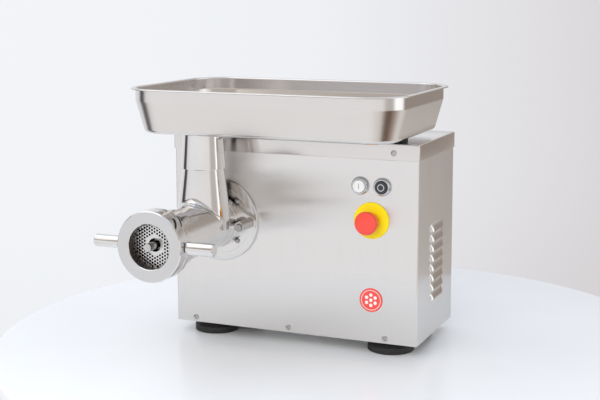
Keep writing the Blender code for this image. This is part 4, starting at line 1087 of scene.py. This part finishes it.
def maker_badge():
    """Round red badge with a white line near its rim and a plain emblem: seven dots like a hole plate's."""
    place, radius = on_panel("badge"), half_width("badge")
    face = reach(low("badge").y)
    base = turned("badge_pressed", [
        (0, face - 0.0002), (radius - 0.0009, face - 0.0002, 0.0004), (radius, face - 0.0007, 0.0003),
        (radius, GAP), (0, GAP)], steps=96)
    fit(at(base, place, FRONT), "housing", BADGE_RED, "badge_red", "badge")
    line_in, line_out = radius * 0.80, radius * 0.845
    line = turned("badge_line", [
        (line_in, face - 0.0001), (line_out, face - 0.0001), (line_out, face - 0.0004),
        (line_in, face - 0.0004)], ring=True, steps=96)
    fit(at(line, place, FRONT), "housing", BADGE_WHITE, "badge_red")
    spots = [circle(0.0029, 24, spot) for spot in [(0, 0)] + circle(0.0085, 6, start=radians(30))]
    dots = [plate(f"dot_{i}", [spot], face - 0.0004, face, 0.0001) for i, spot in enumerate(spots)]
    emblem = gathered("badge_emblem", dots)
    fit(at(emblem, place, FRONT), "housing", BADGE_WHITE, "badge_red")


# ---------------- tray
def tray_levels():
    """How far out the pan stands, and its height, from the floor up to the edge of the lip."""
    bottom, brim = low("feed_tray").z, high("feed_tray").z - TRAY_SHEET
    lip = TRAY_LIP - TRAY_SHEET
    wall = rounded_line([
        (-TRAY_TAPER - 0.022, bottom), (-TRAY_TAPER - 0.0008, bottom, TRAY_FILLET),
        (0, brim - TRAY_BAND, 0.012), (0, brim, 0.0018), (lip - 0.0002, brim, 0.0009), (lip, brim - 0.0012)],
        steps=6)
    return [tuple(p) for p in wall]


def feed_tray():
    """Deep-drawn pan: floor, round lower edge, sloping wall, upright band and a lip turned out."""
    lowest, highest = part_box("feed_tray")
    plan_low = Vector((lowest.x + TRAY_LIP, lowest.y + TRAY_LIP, 0))
    plan_high = Vector((highest.x - TRAY_LIP, highest.y - TRAY_LIP, 0))
    rings = [
        [(x, y, z) for x, y in rounded_corners(plan_low, plan_high, TRAY_CORNER, out, 18)]
        for out, z in tray_levels()]
    bm = bmesh.new()
    loops = [[bm.verts.new(p) for p in ring] for ring in rings]
    bm.faces.new(loops[0])
    for lower, upper in zip(loops, loops[1:]):
        skin(bm, lower, upper)
    pan = thickened(outward(finished("feed_tray_drawn", bm)), TRAY_SHEET)
    hole = at(drill(TRAY_HOLE_R, -0.01, 0.01), (THROAT.x, THROAT.y, lowest.z))
    combined(pan, [hole], "DIFFERENCE")
    weigh_normals(pan)
    fit(pan, "tray", TRAY_STEEL, "brushed_sheet", "feed_tray")


def outward(pan):
    """Make the skin of an open pan face down and out."""
    floor = max(pan.data.polygons, key=lambda polygon: polygon.area)
    if floor.normal.z > 0:
        pan.data.flip_normals()
    return pan


def tray_spout():
    """Tapered collar under the tray, its upper edge welded in and its lower edge rolled a little."""
    bottom, top = low("tray_spout").z, high("tray_spout").z
    wide = half_width("tray_spout")
    spout = turned("tray_spout_spun", [
        (SPOUT_TOP_R - 0.0002, top), (wide - 0.0004, bottom + 0.0010, 0.0006),
        (wide - 0.0006, bottom, 0.0004), (wide - SPOUT_WALL, bottom, 0.0003),
        (SPOUT_TOP_R - SPOUT_WALL, top)], ring=True, steps=128)
    fit(at(spout, (THROAT.x, THROAT.y, 0)), "tray", HEAD_CHROME, "polished_steel", "tray_spout")


# ---------------- pieces that keep the model's own shape
def finish_inner_pieces():
    """Give each piece that is shown as it was packed the finish of what it is made of; the cross knife gets
    near-black painted shade instead.
    """
    finishes = {
        PANEL_STEEL: "base_plate",
        FOOT_RUBBER: "shaft_seal",
        # Painted shade: the cross knife gets the near-black bore finish, not the colour of its steel.
        SCREW_STEEL: "plate_key",
        BORE_SHADE: "cross_knife",
        SHAFT_STEEL: "output_shaft idler_shaft motor_shaft output_bearing motor_bearing_front "
                     "motor_bearing_rear",
        GEAR_STEEL: "output_gear idler_gear",
        STATOR_SHEETS: "rotor_core stator_core",
        CASE_METAL: "gearbox_body gearbox_cover",
        MOTOR_PAINT: "motor_frame motor_end_shield",
        COWL_PLASTIC: "fan_cowl cooling_fan",
        CAPACITOR_WHITE: "run_capacitor",
        SWITCH_GREY: "contactor start_contact_block stop_contact_block estop_contact_block"}
    for paint, nodes in finishes.items():
        for node in nodes.split():
            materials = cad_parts[node].data.materials
            materials.clear()
            materials.append(paint)


# ---------------- floor, light and camera
def table_top():
    """Round white table that the machine stands on."""
    top = turned("table_top", [
        (0, 0), (TABLE_R, 0, 0.004), (TABLE_R, -TABLE_THICK, 0.006), (TABLE_R - 0.03, -TABLE_THICK),
        (0, -TABLE_THICK)], steps=256)
    at(top, TABLE_PLACE)
    paint = finish("table_lacquer")
    tone = paint.mix(paint.noise(3.0, 2.0).step(0.3, 0.7), (0.87, 0.892, 0.915), (0.90, 0.922, 0.945))
    peel = paint.bump(paint.noise(600.0, 2.0), 0.00002, 0.4)
    paint.set(Base_Color=tone, Roughness=0.22, Normal=peel)
    top.data.materials.append(paint.owner)


def srgb(*levels):
    """A colour of the room from display levels, in which 255 is white and windows are above it."""
    return tuple((level / 255)**2.2 / ROOM_LIGHT for level in levels)


def studio_room():
    """The room as colours by direction: bright walls, a dim side to the right, a pale ceiling and a floor."""
    world = bpy.data.worlds.new("studio_room")
    bpy.context.scene.world = world
    room = Shader(world, "Background")
    direction = room.node("ShaderNodeTexCoord", (), (), "Generated")
    x, y, z = room.split(direction)
    heading = x.then("ARCTAN2", y) * (1 / (2 * pi)) + 0.5
    upper = ring_of_colours(room, heading, [
        (-180, (196, 188, 180)), (-140, (190, 182, 175)), (-112, (150, 142, 136)), (-84, (146, 140, 136)),
        (-70, (232, 234, 239)), (-33, (238, 241, 246)), (-9, (216, 212, 212)), (6, (204, 199, 194)),
        (34, (200, 195, 190)), (50, (250, 250, 252)), (80, (290, 290, 292)), (114, (196, 188, 181)),
        (160, (198, 190, 182))])
    walls = ring_of_colours(room, heading, [
        (-180, (252, 252, 254)), (-140, (252, 252, 254)), (-116, (240, 240, 243)), (-107, (92, 88, 92)),
        (-91, (80, 76, 80)), (-84, (240, 241, 245)), (-45, (243, 245, 249)), (-33, (242, 244, 248)),
        (-22, (238, 240, 244)), (-9, (219, 216, 219)), (2, (184, 177, 172)), (10, (158, 148, 140)),
        (40, (154, 144, 136)), (50, (290, 290, 292)), (80, (310, 310, 312)), (90, (206, 200, 196)),
        (112, (206, 200, 196)), (122, (250, 248, 247)), (160, (254, 253, 254))])
    floor = ring_of_colours(room, heading, [
        (-180, (252, 251, 252)), (-140, (250, 250, 251)), (-118, (236, 234, 234)), (-106, (104, 98, 100)),
        (-90, (104, 98, 100)), (-78, (236, 238, 242)), (-33, (236, 238, 242)), (-9, (204, 199, 201)),
        (8, (230, 227, 224)), (50, (232, 228, 224)), (74, (170, 150, 138)), (92, (104, 82, 70)),
        (108, (116, 94, 82)), (124, (226, 220, 216)), (160, (252, 250, 249))])
    ceiling = srgb(232, 241, 254)
    around = room.mix(z.step(-0.40, -0.12), floor, walls)
    above = room.mix(z.step(0.06, 0.26), around, upper)
    colour = room.mix(z.step(0.55, 0.85), above, ceiling)
    room.set(Color=colour, Strength=ROOM_LIGHT)


def ring_of_colours(room, heading, stops):
    """A colour for each heading, in degrees to the right of the back."""
    ramp = [((angle + 180) / 360, srgb(*levels)) for angle, levels in stops + [(180, stops[0][1])]]
    return room.node("ShaderNodeValToRGB", {"stops": ramp}, {0: heading})


def soft_light(name, place, aim, size, power, seen):
    """Square soft box; polished metal reflects it only where it is seen."""
    lamp = bpy.data.lights.new(name, "AREA")
    lamp.size = size
    lamp.energy = power
    lamp.color = (1.0, 0.985, 0.962)
    lit = bpy.data.objects.new(name, lamp)
    lit.location = place
    lit.rotation_euler = (Vector(aim) - Vector(place)).to_track_quat("-Z", "Y").to_euler()
    lit.visible_glossy = seen
    bpy.context.scene.collection.objects.link(lit)


def camera():
    """Camera at the front right, a little above the machine."""
    lens = bpy.data.cameras.new("camera")
    lens.lens = LENS
    lens.sensor_width = 36.0
    lens.shift_y = -0.1
    view = bpy.data.objects.new("camera", lens)
    view.location = CAMERA_PLACE
    view.rotation_euler = (radians(90 - CAMERA_DOWN), 0, radians(CAMERA_LEFT))
    bpy.context.scene.collection.objects.link(view)
    bpy.context.scene.camera = view


# ---------------- assembly
camera()
studio_room()
soft_light("key", (-1.6, -0.8, 2.3), (0, 0, 0.1), 2.9, 19.0, True)
soft_light("fill", (0.2, -3.0, 1.7), (0, 0, 0.2), 2.4, 56.0, False)
table_top()
housing_wrap()
lid_cover()
rear_cover()
panel_screws()
cable_gland()
for corner in ("front_left", "front_right", "rear_left", "rear_right"):
    rubber_foot(f"foot_{corner}")
lid_bumper("lid_bumper_front")
lid_bumper("lid_bumper_rear")
flange_disc()
for number in range(1, 5):
    flange_screw(f"flange_screw_{number}")
for word in ("left", "right"):
    head_nut(f"head_nut_{word}")
    head_stud(f"head_stud_{word}")
grinding_head()
hole_plate()
ring_nut()
ring_handle("ring_handle_left", -1)
ring_handle("ring_handle_right", 1)
feed_auger()
push_button("start", WHITE_CAP, MARK_GREY, "button_white")
push_button("stop", BLACK_CAP, MARK_WHITE, "button_black")
emergency_stop()
maker_badge()
feed_tray()
tray_spout()
finish_inner_pieces()

bpy.context.scene.view_settings.view_transform = "Standard"
